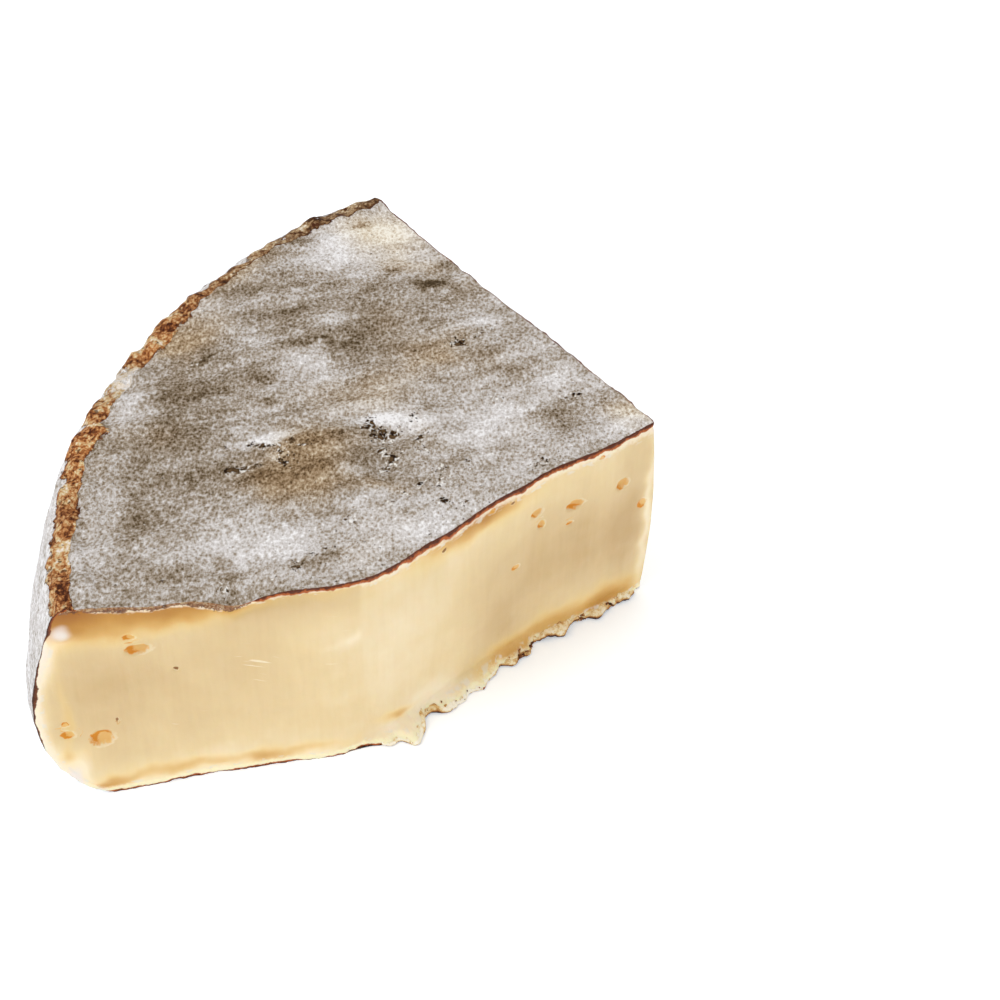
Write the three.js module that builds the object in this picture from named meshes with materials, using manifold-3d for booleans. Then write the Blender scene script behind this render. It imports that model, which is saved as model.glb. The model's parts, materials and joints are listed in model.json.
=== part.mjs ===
// A large cut piece of a saint-nectaire cheese: a quarter of a ripened wheel, lying on its flat base.
// Millimetres, +Z up, the cut faces towards -Y. The piece is shaped round the wheel's centre and
// then moved so that the middle of its base is the origin.

import * as THREE from "three";
import { mergeVertices } from "three/addons/utils/BufferGeometryUtils.js";
import Module from "manifold-3d";

// Wheel
const wheelHeight = 46;
const baseRadius = 99.5; // where the side lifts off the base
const bulgeRadius = 110.6; // widest level of the side
const bulgeHeight = 18.5;
const shoulderRadius = 104.1; // where the side turns into the rim
const shoulderHeight = 42.4;
const topRadius = 98.8; // where the rim runs out into the top
const backSwell = 1.1; // the wheel is a little wider towards the back
const swellEnds = 134; // degrees round the wheel
const swellFades = 144;
const footHandle = 5; // handles of the side's bends, how roundly it leaves each of its places
const bulgeHandle = 10;
const shoulderHandle = { out: 2.2, down: 6 };
const rimHandle = { in: 0.8, down: 1 };
const topHandle = 2.6;

// Cuts, as places and directions round the wheel's centre
const heart = new THREE.Vector2(5.9, 17.3); // inner corner, close to the wheel's centre
const heartBulge = 1.2; // the soft inner corner sags outwards at half its height
const toe = new THREE.Vector2(-46.6, -22.9); // front corner
const toeLean = new THREE.Vector2(-2, -0.6); // how far the base of the front corner stands out
const frontCutTop = 187.5; // degrees, toe to rim at the top
const frontCutBase = 192.1; // the knife leaned, so the base turns a little further
const backCut = 127.9; // degrees, heart to rim
const longCutHollow = 2.2; // the knife was turned part way along the long cut
const hollowAt = 0.62; // as a share of the way from toe to heart

// Straw marks on the top
const strawSpacing = 7.3;
const strawHeight = 0.13;
const strawDirection = 109; // degrees, across the marks

// Rough crust along the rim
const crustWidth = 7;
const crustHeight = 0.55;
const crustLevel = 0.6; // where it starts on the side, as a share of the way up
const crustFade = 0.15;

// Torn rind along the foot of the long cut, in lobes
const footLobes = [
  { away: 5.5, halfWidth: 4.5, reach: 1.4 },
  { away: 9.8, halfWidth: 2.8, reach: 3.6 },
  { away: 24, halfWidth: 7.8, reach: 2.9 },
  { away: 36.5, halfWidth: 3.4, reach: 2.4 },
  { away: 47.4, halfWidth: 2.8, reach: 1.9 },
  { away: 58, halfWidth: 3, reach: 0.9 },
  { away: 64, halfWidth: 2, reach: 0.8 },
];
const lobeSquareness = 4; // higher is squarer
const lobeBottom = 0.6; // the lobes are full up to this height
const lobeTop = 3.2; // and have run out at this one
const tatterReach = 0.45;

// Place where the rind sags over the front cut
const sagDrop = 1.9;
const sagAway = 21.5; // distance from the toe
const sagWidth = 4.5;
const sagFade = 4; // distance from the cut over which it levels out

// Shares of a side or of the way up over which relief dies out
const cornerFade = 0.04;
const knifeFade = 0.12;
const tatterFade = 0.06;
const footFade = 0.2;
const topStart = 0.5; // the top's relief starts at this share of the way up

// Waves as height, length, direction in degrees and shift in radians
const topWaves = [
  [0.4, 61, 12, 0.4],
  [0.32, 43, 78, 1.9],
  [0.25, 27, 131, 4.1],
  [0.16, 18, 35, 2.6],
];
const crustWaves = [
  [0.5, 5.1, 21, 0.3],
  [0.4, 7.7, 94, 2.2],
  [0.35, 11.3, 152, 5.0],
];
const tatterWaves = [
  [0.5, 4.3, 0, 1.1],
  [0.45, 7.1, 0, 3.4],
  [0.55, 12.7, 0, 5.2],
];
const cutWaves = [
  [0.32, 47, 0, 0.8],
  [0.22, 29, 70, 2.1],
  [0.12, 14, 20, 4.4],
];

// Sunken crusts in the top, placed round the wheel's centre
const pits = [
  { x: -44.5, y: 13.5, width: 3.2, depth: 1 },
  { x: -43.6, y: 6, width: 2.6, depth: 0.6 },
  { x: -39, y: 16, width: 2.6, depth: 0.7 },
  { x: -69.8, y: 7, width: 3.2, depth: 0.8 },
  { x: -62.6, y: 8, width: 2.8, depth: 0.7 },
  { x: -34, y: 10.8, width: 2.4, depth: 0.5 },
  { x: -30.9, y: 41.6, width: 3.4, depth: 0.6 },
  { x: -23.4, y: 25.4, width: 3, depth: 0.6 },
];

// Eyes in the cut faces, small hollows placed by their distance from the toe
const frontEyes = [
  { away: 39, height: 35.8, width: 4.4, tall: 2.4, deep: 1.8 },
  { away: 39.9, height: 39.1, width: 2.4, tall: 1.4, deep: 1 },
  { away: 47.4, height: 15.4, width: 3.6, tall: 3.4, deep: 1.8 },
  { away: 53, height: 17.6, width: 3, tall: 2.4, deep: 1.1 },
];
const longEyes = [
  { away: 59.4, height: 34.6, width: 3, tall: 2.4, deep: 1.6 },
  { away: 48.7, height: 34.6, width: 3.8, tall: 2.6, deep: 1.8 },
  { away: 40.1, height: 36.9, width: 2.6, tall: 1.8, deep: 1.3 },
  { away: 41.4, height: 33.2, width: 1.8, tall: 2, deep: 1.2 },
];

// Grid of the skin
const arcSteps = 54;
const inwardSteps = 42;
const levelSteps = 12;
const baseGroup = 5; // the box's face group that lies on the floor
const weldDistance = 1e-4;

const { degToRad, radToDeg, smoothstep, lerp, euclideanModulo } = THREE.MathUtils;

function direction(degrees) {
  return new THREE.Vector2(Math.cos(degToRad(degrees)), Math.sin(degToRad(degrees)));
}

function mix(a, b, share) {
  return a.clone().lerp(b, share);
}

function waveSum(waves, x, y) {
  let sum = 0;
  for (const [size, length, degrees, shift] of waves) {
    const along = direction(degrees).dot({ x, y });
    sum += size * Math.sin((2 * Math.PI * along) / length + shift);
  }
  return sum;
}

// 0 at both ends of a side and 1 away from them
function endFade(share, width) {
  return smoothstep(Math.min(share, 1 - share), 0, width);
}

// The side of the wheel in three bends, from its foot to the flat top, as radius and height
function bend(...places) {
  return new THREE.CubicBezierCurve(...places.map(([radius, height]) => new THREE.Vector2(radius, height)));
}

const sideBends = [
  bend(
    [baseRadius, 0],
    [baseRadius + footHandle, 0],
    [bulgeRadius, bulgeHeight - bulgeHandle],
    [bulgeRadius, bulgeHeight],
  ),
  bend(
    [bulgeRadius, bulgeHeight],
    [bulgeRadius, bulgeHeight + bulgeHandle],
    [shoulderRadius + shoulderHandle.out, shoulderHeight - shoulderHandle.down],
    [shoulderRadius, shoulderHeight],
  ),
  bend(
    [shoulderRadius, shoulderHeight],
    [shoulderRadius - rimHandle.in, wheelHeight - rimHandle.down],
    [topRadius + topHandle, wheelHeight],
    [topRadius, wheelHeight],
  ),
];

// Radius and height of the side at a level from 0, its foot, to 1, the top
function sideProfile(level) {
  const place = level * sideBends.length;
  const index = Math.min(Math.floor(place), sideBends.length - 1);
  const { x: radius, y: height } = sideBends[index].getPoint(place - index);
  return { radius, height };
}

function levelAt(height) {
  let low = 0;
  let high = 1;
  for (let i = 0; i < 20; i++) {
    const middle = (low + high) / 2;
    if (sideProfile(middle).height < height) low = middle;
    else high = middle;
  }
  return low;
}

// Where a cut that starts inside the wheel reaches a circle round its centre
function cutEnd(start, degrees, radius) {
  const way = direction(degrees);
  const half = start.dot(way);
  const length = -half + Math.sqrt(half * half - start.lengthSq() + radius * radius);
  return start.clone().addScaledVector(way, length);
}

// Ripples of the side, which die out at its foot and at the cuts
function sideRipple(angle, level, share) {
  const around = degToRad(angle) * bulgeRadius;
  const up = level * wheelHeight;
  const crust = crustHeight * waveSum(crustWaves, around, up);
  const crustShare = smoothstep(level, crustLevel, crustLevel + crustFade);
  const ripple = waveSum(cutWaves, around, up) + crust * crustShare;
  return ripple * smoothstep(level, 0, footFade) * endFade(share, cornerFade);
}

// Shallow waves that the knife left
function knifeRelief(away, height, share) {
  return waveSum(cutWaves, away, height) * endFade(share, knifeFade);
}

// How far the torn rind stands out along the foot of the long cut
function footRelief(away, height, share) {
  let reach = tatterReach * (1 + waveSum(tatterWaves, away, 0)) * endFade(share, tatterFade);
  for (const lobe of footLobes) {
    const off = Math.abs(away - lobe.away) / lobe.halfWidth;
    reach += lobe.reach * Math.exp(-(off ** lobeSquareness));
  }
  return reach * (1 - smoothstep(height, lobeBottom, lobeTop));
}

// The outline of the piece at one level: four sides, each a function of a share from 0 to 1
function section(level) {
  const { radius, height } = sideProfile(level);
  const up = height / wheelHeight;
  const frontDegrees = lerp(frontCutBase, frontCutTop, up);
  const toeHere = toe.clone().addScaledVector(toeLean, 1 - up);
  const heartHere = heart.clone();
  heartHere.x += heartBulge * Math.sin(Math.PI * up);
  const rimFront = cutEnd(toeHere, frontDegrees, radius);
  const rimBack = cutEnd(heartHere, backCut, radius + backSwell);
  const frontAngle = euclideanModulo(radToDeg(rimFront.angle()), 360);
  const backAngle = radToDeg(rimBack.angle());
  const frontLength = rimFront.distanceTo(toeHere);
  const longLength = toeHere.distanceTo(heartHere);
  const longDegrees = radToDeg(heartHere.clone().sub(toeHere).angle());

  const arc = (share) => {
    const angle = lerp(frontAngle, backAngle, share);
    const swell = backSwell * (1 - smoothstep(angle, swellEnds, swellFades));
    return direction(angle).multiplyScalar(radius + swell + sideRipple(angle, level, share));
  };
  const front = (share) => {
    const relief = knifeRelief(frontLength * (1 - share), height, share);
    return mix(rimFront, toeHere, share).addScaledVector(direction(frontDegrees + 90), relief);
  };
  const back = (share) => {
    const relief = knifeRelief(frontLength * share, height, share);
    return mix(rimBack, heartHere, share).addScaledVector(direction(backCut - 90), relief);
  };
  const long = (share) => {
    const away = longLength * share;
    const hollow = longCutHollow * Math.min(share / hollowAt, (1 - share) / (1 - hollowAt));
    const relief = knifeRelief(away, height, share) + footRelief(away, height, share) - hollow;
    return mix(toeHere, heartHere, share).addScaledVector(direction(longDegrees - 90), relief);
  };
  return { arc, front, back, long, height, frontLength, longLength };
}

// The rind hangs a little over the front cut at one place
function rindSag(point) {
  const fromToe = point.clone().sub(toe);
  const way = direction(frontCutTop);
  const off = (fromToe.dot(way) - sagAway) / sagWidth;
  return sagDrop * Math.exp(-off * off) * (1 - smoothstep(Math.abs(fromToe.cross(way)), 0, sagFade));
}

// Height that the top gains or loses at a place
function topRelief(point) {
  const { x, y } = point;
  const across = point.dot(direction(strawDirection)) + waveSum(topWaves, x, y);
  const straw = strawHeight * (1 + waveSum(topWaves, y, x)) * Math.sin((2 * Math.PI * across) / strawSpacing);
  const rim = smoothstep(point.length(), topRadius - crustWidth, topRadius);
  let relief = waveSum(topWaves, x, y) + straw + crustHeight * rim * waveSum(crustWaves, x, y);
  for (const pit of pits) {
    const off = Math.hypot(x - pit.x, y - pit.y) / pit.width;
    relief -= pit.depth * Math.exp(-off * off);
  }
  return relief - rindSag(point);
}

// Any place of the piece: shares along the arc and from the rim inwards, and a level
function skinPoint(alongArc, inward, level) {
  const { arc, front, back, long, height } = section(level);
  const across = mix(arc(alongArc), long(alongArc), inward);
  const along = mix(front(inward), back(inward), alongArc);
  const corners = mix(mix(arc(0), long(0), inward), mix(arc(1), long(1), inward), alongArc);
  const point = across.add(along).sub(corners);
  const lift = smoothstep(level, topStart, 1) * topRelief(point);
  return new THREE.Vector3(point.x, point.y, height + lift);
}

// Triangles from every edge that has a face on one side only to one middle vertex
function fanFromOpenEdges(index, middle) {
  const edges = new Set();
  for (let i = 0; i < index.length; i += 3) {
    for (let k = 0; k < 3; k++) {
      edges.add(`${index[i + k]} ${index[i + ((k + 1) % 3)]}`);
    }
  }
  const fan = [];
  for (const edge of edges) {
    const [from, to] = edge.split(" ");
    if (!edges.has(`${to} ${from}`)) fan.push(Number(to), Number(from), middle);
  }
  return fan;
}

function onlyPositions(geometry) {
  geometry.deleteAttribute("normal");
  geometry.deleteAttribute("uv");
  return mergeVertices(geometry, weldDistance);
}

// A box whose grid is bent into the piece; the flat base needs no grid and is closed by a fan
function skinGeometry() {
  const box = new THREE.BoxGeometry(1, 1, 1, inwardSteps, arcSteps, levelSteps);
  box.setIndex(Array.from(box.index.array.slice(0, box.groups[baseGroup].start)));
  const open = onlyPositions(box);
  const places = [...open.attributes.position.array, 0, 0, -0.5];
  const middle = open.attributes.position.count;
  const skin = new THREE.BufferGeometry();
  skin.setAttribute("position", new THREE.Float32BufferAttribute(places, 3));
  skin.setIndex([...open.index.array, ...fanFromOpenEdges(open.index.array, middle)]);

  const place = skin.attributes.position;
  for (let i = 0; i < place.count; i++) {
    const point = skinPoint(place.getY(i) + 0.5, place.getX(i) + 0.5, place.getZ(i) + 0.5);
    place.setXYZ(i, point.x, point.y, point.z);
  }
  return skin;
}

// One eye, round a middle that lies in a cut face
function eyeGeometry(eye, middle, degrees) {
  const geometry = new THREE.SphereGeometry(1, 12, 8);
  geometry.scale(eye.width / 2, eye.deep, eye.tall / 2);
  geometry.rotateZ(degToRad(degrees));
  geometry.translate(middle.x, middle.y, eye.height);
  return onlyPositions(geometry);
}

function frontEyeGeometry(eye) {
  const { front, frontLength } = section(levelAt(eye.height));
  return eyeGeometry(eye, front(1 - eye.away / frontLength), frontCutTop);
}

function longEyeGeometry(eye) {
  const { long, longLength } = section(levelAt(eye.height));
  return eyeGeometry(eye, long(eye.away / longLength), radToDeg(heart.clone().sub(toe).angle()));
}

const wasm = await Module();
wasm.setup();

function toSolid(geometry) {
  const vertProperties = new Float32Array(geometry.attributes.position.array);
  const triVerts = new Uint32Array(geometry.index.array);
  return new wasm.Manifold(new wasm.Mesh({ numProp: 3, vertProperties, triVerts }));
}

function toGeometry(solid) {
  const { vertProperties, triVerts } = solid.getMesh();
  const geometry = new THREE.BufferGeometry();
  geometry.setAttribute("position", new THREE.BufferAttribute(vertProperties, 3));
  geometry.setIndex(new THREE.BufferAttribute(triVerts, 1));
  return geometry;
}

function cheeseGeometry() {
  let solid = toSolid(skinGeometry());
  for (const hole of [...frontEyes.map(frontEyeGeometry), ...longEyes.map(longEyeGeometry)]) {
    solid = solid.subtract(toSolid(hole));
  }
  const geometry = toGeometry(solid);
  geometry.computeBoundingBox();
  const middle = geometry.boundingBox.getCenter(new THREE.Vector3());
  geometry.translate(-middle.x, -middle.y, 0);
  geometry.computeVertexNormals();
  return geometry;
}

const rind = new THREE.MeshStandardMaterial({ name: "rind", color: 0xa39a8c, roughness: 0.9, metalness: 0 });
const cheese = new THREE.Mesh(cheeseGeometry(), rind);
cheese.name = "cheese";

const group = new THREE.Group();
group.add(cheese);

export default group;
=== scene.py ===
import itertools
import json
import math

import bmesh
import bpy
import numpy as np
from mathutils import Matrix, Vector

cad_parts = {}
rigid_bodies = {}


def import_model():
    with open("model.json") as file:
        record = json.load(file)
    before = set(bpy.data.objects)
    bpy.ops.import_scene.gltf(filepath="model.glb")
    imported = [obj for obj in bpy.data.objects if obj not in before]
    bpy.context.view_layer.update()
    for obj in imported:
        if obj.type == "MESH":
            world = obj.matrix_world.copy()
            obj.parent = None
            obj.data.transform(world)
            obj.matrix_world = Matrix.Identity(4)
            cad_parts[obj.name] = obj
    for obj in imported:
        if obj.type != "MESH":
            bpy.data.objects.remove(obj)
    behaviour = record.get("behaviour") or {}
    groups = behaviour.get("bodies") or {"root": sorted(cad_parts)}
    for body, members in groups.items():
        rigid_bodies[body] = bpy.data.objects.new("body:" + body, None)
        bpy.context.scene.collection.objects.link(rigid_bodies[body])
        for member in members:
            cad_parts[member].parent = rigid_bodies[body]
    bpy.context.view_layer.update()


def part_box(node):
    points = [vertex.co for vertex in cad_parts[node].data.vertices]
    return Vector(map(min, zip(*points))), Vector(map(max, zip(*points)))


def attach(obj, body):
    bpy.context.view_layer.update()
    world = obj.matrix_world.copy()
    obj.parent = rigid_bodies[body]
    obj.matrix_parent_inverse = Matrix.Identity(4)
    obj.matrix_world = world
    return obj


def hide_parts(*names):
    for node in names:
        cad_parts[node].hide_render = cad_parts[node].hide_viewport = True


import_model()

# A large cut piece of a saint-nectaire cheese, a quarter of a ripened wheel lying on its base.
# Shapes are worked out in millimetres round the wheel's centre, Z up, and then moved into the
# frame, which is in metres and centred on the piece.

MM = 0.001

# Wheel, as in the part
WHEEL_HEIGHT = 46.0
BASE_RADIUS = 99.5
BULGE_RADIUS = 110.6
BULGE_HEIGHT = 18.5
SHOULDER_RADIUS = 104.1
SHOULDER_HEIGHT = 42.4
TOP_RADIUS = 98.8
BACK_SWELL = 1.1
SWELL_ENDS = 134.0
SWELL_FADES = 144.0
FOOT_HANDLE = 5.0
BULGE_HANDLE = 10.0
SHOULDER_HANDLE = (2.2, 6.0)
RIM_HANDLE = (0.8, 1.0)
TOP_HANDLE = 2.6

# Cuts, as in the part
HEART = np.array([5.9, 17.3])
HEART_BULGE = 1.2
TOE = np.array([-46.6, -22.9])
TOE_LEAN = np.array([-2.0, -0.6])
FRONT_CUT_TOP = 187.5
FRONT_CUT_BASE = 192.1
BACK_CUT = 127.9
LONG_CUT_HOLLOW = 2.2
HOLLOW_AT = 0.62
TOE_SOFTNESS = 6.0  # distance from the toe at which its soft fold ends

# Relief that the part has too
STRAW_SPACING = 7.3
STRAW_HEIGHT = 0.13
STRAW_DIRECTION = 109.0
CRUST_WIDTH = 7.0
CRUST_HEIGHT = 0.55
CRUST_LEVEL = 0.6
CRUST_FULL_LEVEL = 0.75
LOBE_SQUARENESS = 4
LOBE_BOTTOM = 0.6
LOBE_TOP = 3.2
TATTER_REACH = 0.45
SAG_DROP = 1.9
SAG_AWAY = 21.5
SAG_WIDTH = 4.5
SAG_FADE = 4.0

# Shares of a side, or levels, over which that relief dies out
CORNER_FADE = 0.04
KNIFE_FADE = 0.12
TATTER_FADE = 0.06
FOOT_FADE = 0.2
TOP_START = 0.5

# Waves as height, length, direction in degrees and shift in radians
TOP_WAVES = [(0.4, 61, 12, 0.4), (0.32, 43, 78, 1.9), (0.25, 27, 131, 4.1), (0.16, 18, 35, 2.6)]
CRUST_WAVES = [(0.5, 5.1, 21, 0.3), (0.4, 7.7, 94, 2.2), (0.35, 11.3, 152, 5)]
TATTER_WAVES = [(0.5, 4.3, 0, 1.1), (0.45, 7.1, 0, 3.4), (0.55, 12.7, 0, 5.2)]
CUT_WAVES = [(0.32, 47, 0, 0.8), (0.22, 29, 70, 2.1), (0.12, 14, 20, 4.4)]

# Lobes of the foot of the long cut as distance from the toe, half width and reach. The last
# three reach less far than the part's, because the torn rind makes up the rest.
FOOT_LOBES = [
    (5.5, 4.5, 1.4), (9.8, 2.8, 3.6), (24, 7.8, 2.9), (36.5, 3.4, 2.4), (47.4, 2.8, 0.6),
    (58, 3, 0.3), (64, 2, 0.2),
]

# Sunken crusts in the top as place, width and depth
PITS = [
    (-44.5, 13.5, 3.2, 1), (-43.6, 6, 2.6, 0.6), (-39, 16, 2.6, 0.7), (-69.8, 7, 3.2, 0.8),
    (-62.6, 8, 2.8, 0.7), (-34, 10.8, 2.4, 0.5), (-30.9, 41.6, 3.4, 0.6), (-23.4, 25.4, 3, 0.6),
]

# Eyes as distance along the cut, height, width, tallness, depth and the degrees, from away
# along the cut upwards, at which the shaded side of the hollow lies
FRONT_EYES = [
    (39, 35.8, 4.4, 2.4, 1.3, 20), (40.2, 39.1, 2.2, 1.2, 0.6, 0),
    (47.4, 15.4, 4.2, 3.6, 1.3, 50), (53.2, 17, 2.6, 1.8, 0.7, 340),
    (53.4, 19.6, 1.5, 1.2, 0.5, 90), (44.2, 19.5, 0.6, 0.8, 0.2, 0),
    (32.9, 29.5, 1, 0.9, 0.5, 90),
]
LONG_EYES = [
    (59.4, 34.6, 2.9, 2.5, 1.3, 160), (48.7, 34.6, 3.8, 2.2, 1.3, 205),
    (40.1, 36.9, 2.8, 1.8, 1, 150), (41.4, 33.2, 1.6, 2, 0.8, 190),
    (47.9, 30.1, 1.5, 0.9, 0.5, 220), (35.7, 25.2, 2, 1.2, 0.25, 200),
    (65, 26.4, 2.2, 2.4, 0.5, 200), (18.4, 41.7, 1.1, 1.3, 0.5, 90),
    (29.5, 43.9, 1.6, 1.2, 0.5, 90), (34.1, 43.2, 1, 0.8, 0.4, 90), (54, 44, 1.4, 0.9, 0.4, 90),
]
BACK_EYES = [
    (14, 31, 3.4, 2.2, 1.3, 160), (27, 17.5, 2.4, 2, 1, 130), (33, 37, 2.8, 1.8, 1.1, 200),
    (58, 26, 4.2, 2.6, 1.4, 150), (61.5, 29.5, 1.8, 1.4, 0.8, 180), (79, 34, 2.2, 1.6, 0.9, 120),
    (71, 12.5, 1.6, 1.2, 0.6, 170),
]
EYE_MARGIN = (0.5, 1.1)  # how far past an eye the cut still belongs to it, fully and at all
DARK_EYE = 1.4  # eyes narrower than this are pinholes, filled with brown painted shade
EYE_DEPTH = 0.75  # share of the listed depth that the skin has

# Spots of the top as place, length, width, direction in degrees and strength: its wide darker
# and lighter parts, brown blotches, thick grey-white mould, ochre and cream stains, and dark
# broken crusts
BROAD_TONES = [
    (-66, 43, 11, 9, 60, 0.26), (-51, 46, 12, 6, 80, 0.18), (-55, 62, 12, 6, 20, 0.13),
    (-85, 25, 7, 6, 90, 0.3), (-66, 6, 15, 9, 10, 0.28), (-48, 14, 10, 5, 20, 0.12),
    (-86, -10, 14, 14, 0, 0.13), (-45, 77, 9, 9, 0, -0.55), (-25, 36, 10, 6, 40, -0.2),
    (-20, 8, 18, 8, 45, -0.1), (-37, -8, 10, 6, 45, -0.2), (-62, -15, 12, 6, 10, -0.24),
    (-56, -10, 12, 6, 10, -0.08), (-61, 0, 7, 5, 10, 0.08), (-42, 22, 4, 3, 10, -0.1),
    (-30, 1.5, 6, 4, 10, 0.14), (-47, 38, 10, 6, 10, 0.07), (-13, 32, 8, 4, 10, -0.1),
]
BROWN_BLOTCHES = [
    (-45, 47, 9, 5, 25, 0.18), (-58, 40.5, 6, 1, 12, 0.4), (-36, 59, 4.5, 1.5, 0, 0.75),
    (-46, 64, 3, 1.5, 20, 0.45), (-66, 74, 3, 2, 30, 0.45), (-51.5, 79, 1.6, 1.4, 0, 0.5),
    (-35, 67, 1.6, 1.2, 0, 0.4), (-27, 39, 8, 2.6, 30, 0.2), (-20, 33, 6, 2.2, 15, 0.25),
    (-12, 20.5, 6, 3, 10, 0.36), (-83, 38, 8, 6, 20, 0.18), (-80, 36.5, 2.4, 0.7, 50, 0.6),
    (-70, 31, 3, 2, 20, 0.35), (-78, 26, 4, 2.6, 20, 0.3), (-68, 24.5, 2.4, 1.2, 30, 0.4),
    (-85, 14, 11, 4.5, 15, 0.3), (-90, 3, 7, 3.5, 10, 0.25), (-88, -6, 6, 3, 20, 0.2),
    (-57, -18, 3.2, 1.6, 10, 0.45), (-53, -16, 2, 1.2, 40, 0.35), (-49, -8, 2.4, 1.6, 0, 0.35),
    (-68.6, -22.6, 2.6, 1.4, 30, 0.35), (-70.6, -18.4, 1.2, 2.2, -20, 0.3),
    (-80, -20, 4, 2, 10, 0.2), (-45, 2, 7, 1.4, 5, 0.3), (-34, 4.5, 3, 2, 0, 0.2),
    (-30, 8, 3, 1.4, 60, 0.2), (-22, 12, 2, 3, 0, 0.25), (-66, 50, 7, 2, 15, 0.2),
    (-74, 57, 7, 1.4, 10, 0.25),
]
WHITE_BLOTCHES = [
    (-56, 47, 5, 2.6, 15, 0.45), (-71, 41.5, 4.5, 2.6, 10, 0.4), (-60, 36, 5.5, 2.6, 10, 0.45),
    (-57, 30, 4, 2, 30, 0.35), (-28, 47.5, 4, 2, 20, 0.35), (-12, 30, 4.5, 2.6, 20, 0.4),
    (-43, 18.5, 7, 2.6, 5, 0.65), (-46, 23, 5, 2.2, 5, 0.22), (-24, 18, 9, 6, 40, 0.45),
    (-67, 14.2, 5, 1.2, 12, 0.7), (-65, 10, 4, 1.4, 20, 0.5), (-44.6, 17.5, 3, 1.6, 10, 0.4),
    (-50, 4, 3, 1.6, 0, 0.4), (-42, -10, 10, 6, 40, 0.2), (-70, -12, 12, 7, 10, 0.25),
    (-94, -5, 4, 14, 0, 0.25), (-93, 22, 4, 5, 0, 0.4), (-57, 70, 9, 9, 0, 0.4),
    (0, 17, 5, 3, 30, 0.4), (-86, 50, 5, 1.4, 30, 0.3),
]
OCHRE_BLOTCHES = [
    (-61, 4, 9, 7, 10, 0.95), (-57, 12, 8, 4, 0, 0.5), (-48, 26, 12, 6, 20, 0.45),
    (-36, 38, 7, 5, 20, 0.5), (-77, 63, 8, 4, 50, 0.6), (-48, 77, 9, 8, 0, 0.65),
    (-82, -10, 16, 14, 0, -0.3), (-42, 66, 8, 5, 0, 0.45), (-84, 45, 6, 6, 0, 0.4),
    (-45, 48, 7, 5, 0, 0.3), (1, 20, 5, 4, 0, 0.6), (-86, 14, 8, 4, 0, 0.25),
    (-45, 1, 7, 2, 0, 0.45), (-89, 41, 4, 5, 30, 0.8),
]
SPECK_BLOTCHES = [
    (-46, 14.6, 3, 1.8, -20, 1.1), (-42.9, 14.9, 1.4, 1, 30, 0.9), (-47.6, 17.6, 1, 1.8, 0, 0.8),
    (-44.2, 9.8, 1, 1.6, 30, 0.9), (-42.2, 8.6, 0.8, 2.2, -25, 0.8),
    (-44.4, 5.8, 0.8, 1.8, -50, 0.7), (-39.6, 19.2, 1.4, 1.2, 20, 0.9),
    (-38.2, 14.2, 1.1, 1.8, 10, 1), (-37.2, 10.6, 1.2, 1.4, 10, 0.7),
    (-33.6, 5.4, 1.2, 1, 0, 0.8), (-34, 2.2, 2.2, 1, 10, 0.7), (-37.6, 1.6, 0.8, 0.8, 0, 0.7),
    (-40, -0.8, 1, 0.7, -20, 0.7), (-42.5, -3.6, 0.9, 1, 0, 0.7), (-49.6, -8, 1.4, 1.1, -20, 0.6),
    (-29.6, 7.6, 0.8, 1, 0, 0.7), (-29, 5, 1.8, 0.9, 20, 0.4), (-32.8, -3, 1.4, 0.9, 30, 0.6),
    (-30.2, -3.6, 1.2, 0.9, 30, 0.6), (-72.4, 5, 1, 0.8, 0, 1.1), (-70.4, 5.4, 1.8, 1.1, 5, 1.2),
    (-67.8, 7.2, 1, 1.7, 20, 0.9), (-62.4, 8.4, 1.5, 1.6, 0, 1.1),
    (-69.8, 12.2, 1.3, 0.9, -20, 0.9), (-67, 11.8, 1.4, 0.9, 10, 0.9),
    (-64, 12, 1.1, 0.7, 10, 0.7), (-61.2, 12.8, 1.2, 0.9, 10, 0.8),
    (-59.4, 11.2, 1.1, 0.8, -40, 0.9), (-63.6, 10.2, 1, 0.6, 0, 0.6),
    (-30.9, 41.6, 2, 1.1, 10, 1.1), (-26.8, 44.4, 2.6, 0.8, 45, 0.5),
    (-8.7, 26.2, 1.9, 1, 10, 0.9), (-23.6, 25.8, 1.6, 0.9, 10, 0.6), (-15, 7, 2.4, 1.2, 40, 0.5),
    (-58, -18.5, 1.2, 1.2, 60, 0.8), (-54, -15, 1.8, 0.9, 30, 0.5),
    (-82.5, 35.5, 2.2, 0.8, 50, 0.5), (-91, 46.5, 4, 1.4, 30, 0.5), (-86, 49.5, 3.4, 1, 20, 0.7),
    (-92, 38.4, 2.6, 1.2, 10, 0.8), (-36, 59, 2.6, 1, 0, 0.5), (-70.3, -23.4, 1, 1.2, 0, 0.6),
]
SPECKLED_WAY = -53  # straight out of the long cut, near which the top has a few more specks
SPECKLED_WIDTH = 16.12
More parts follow.
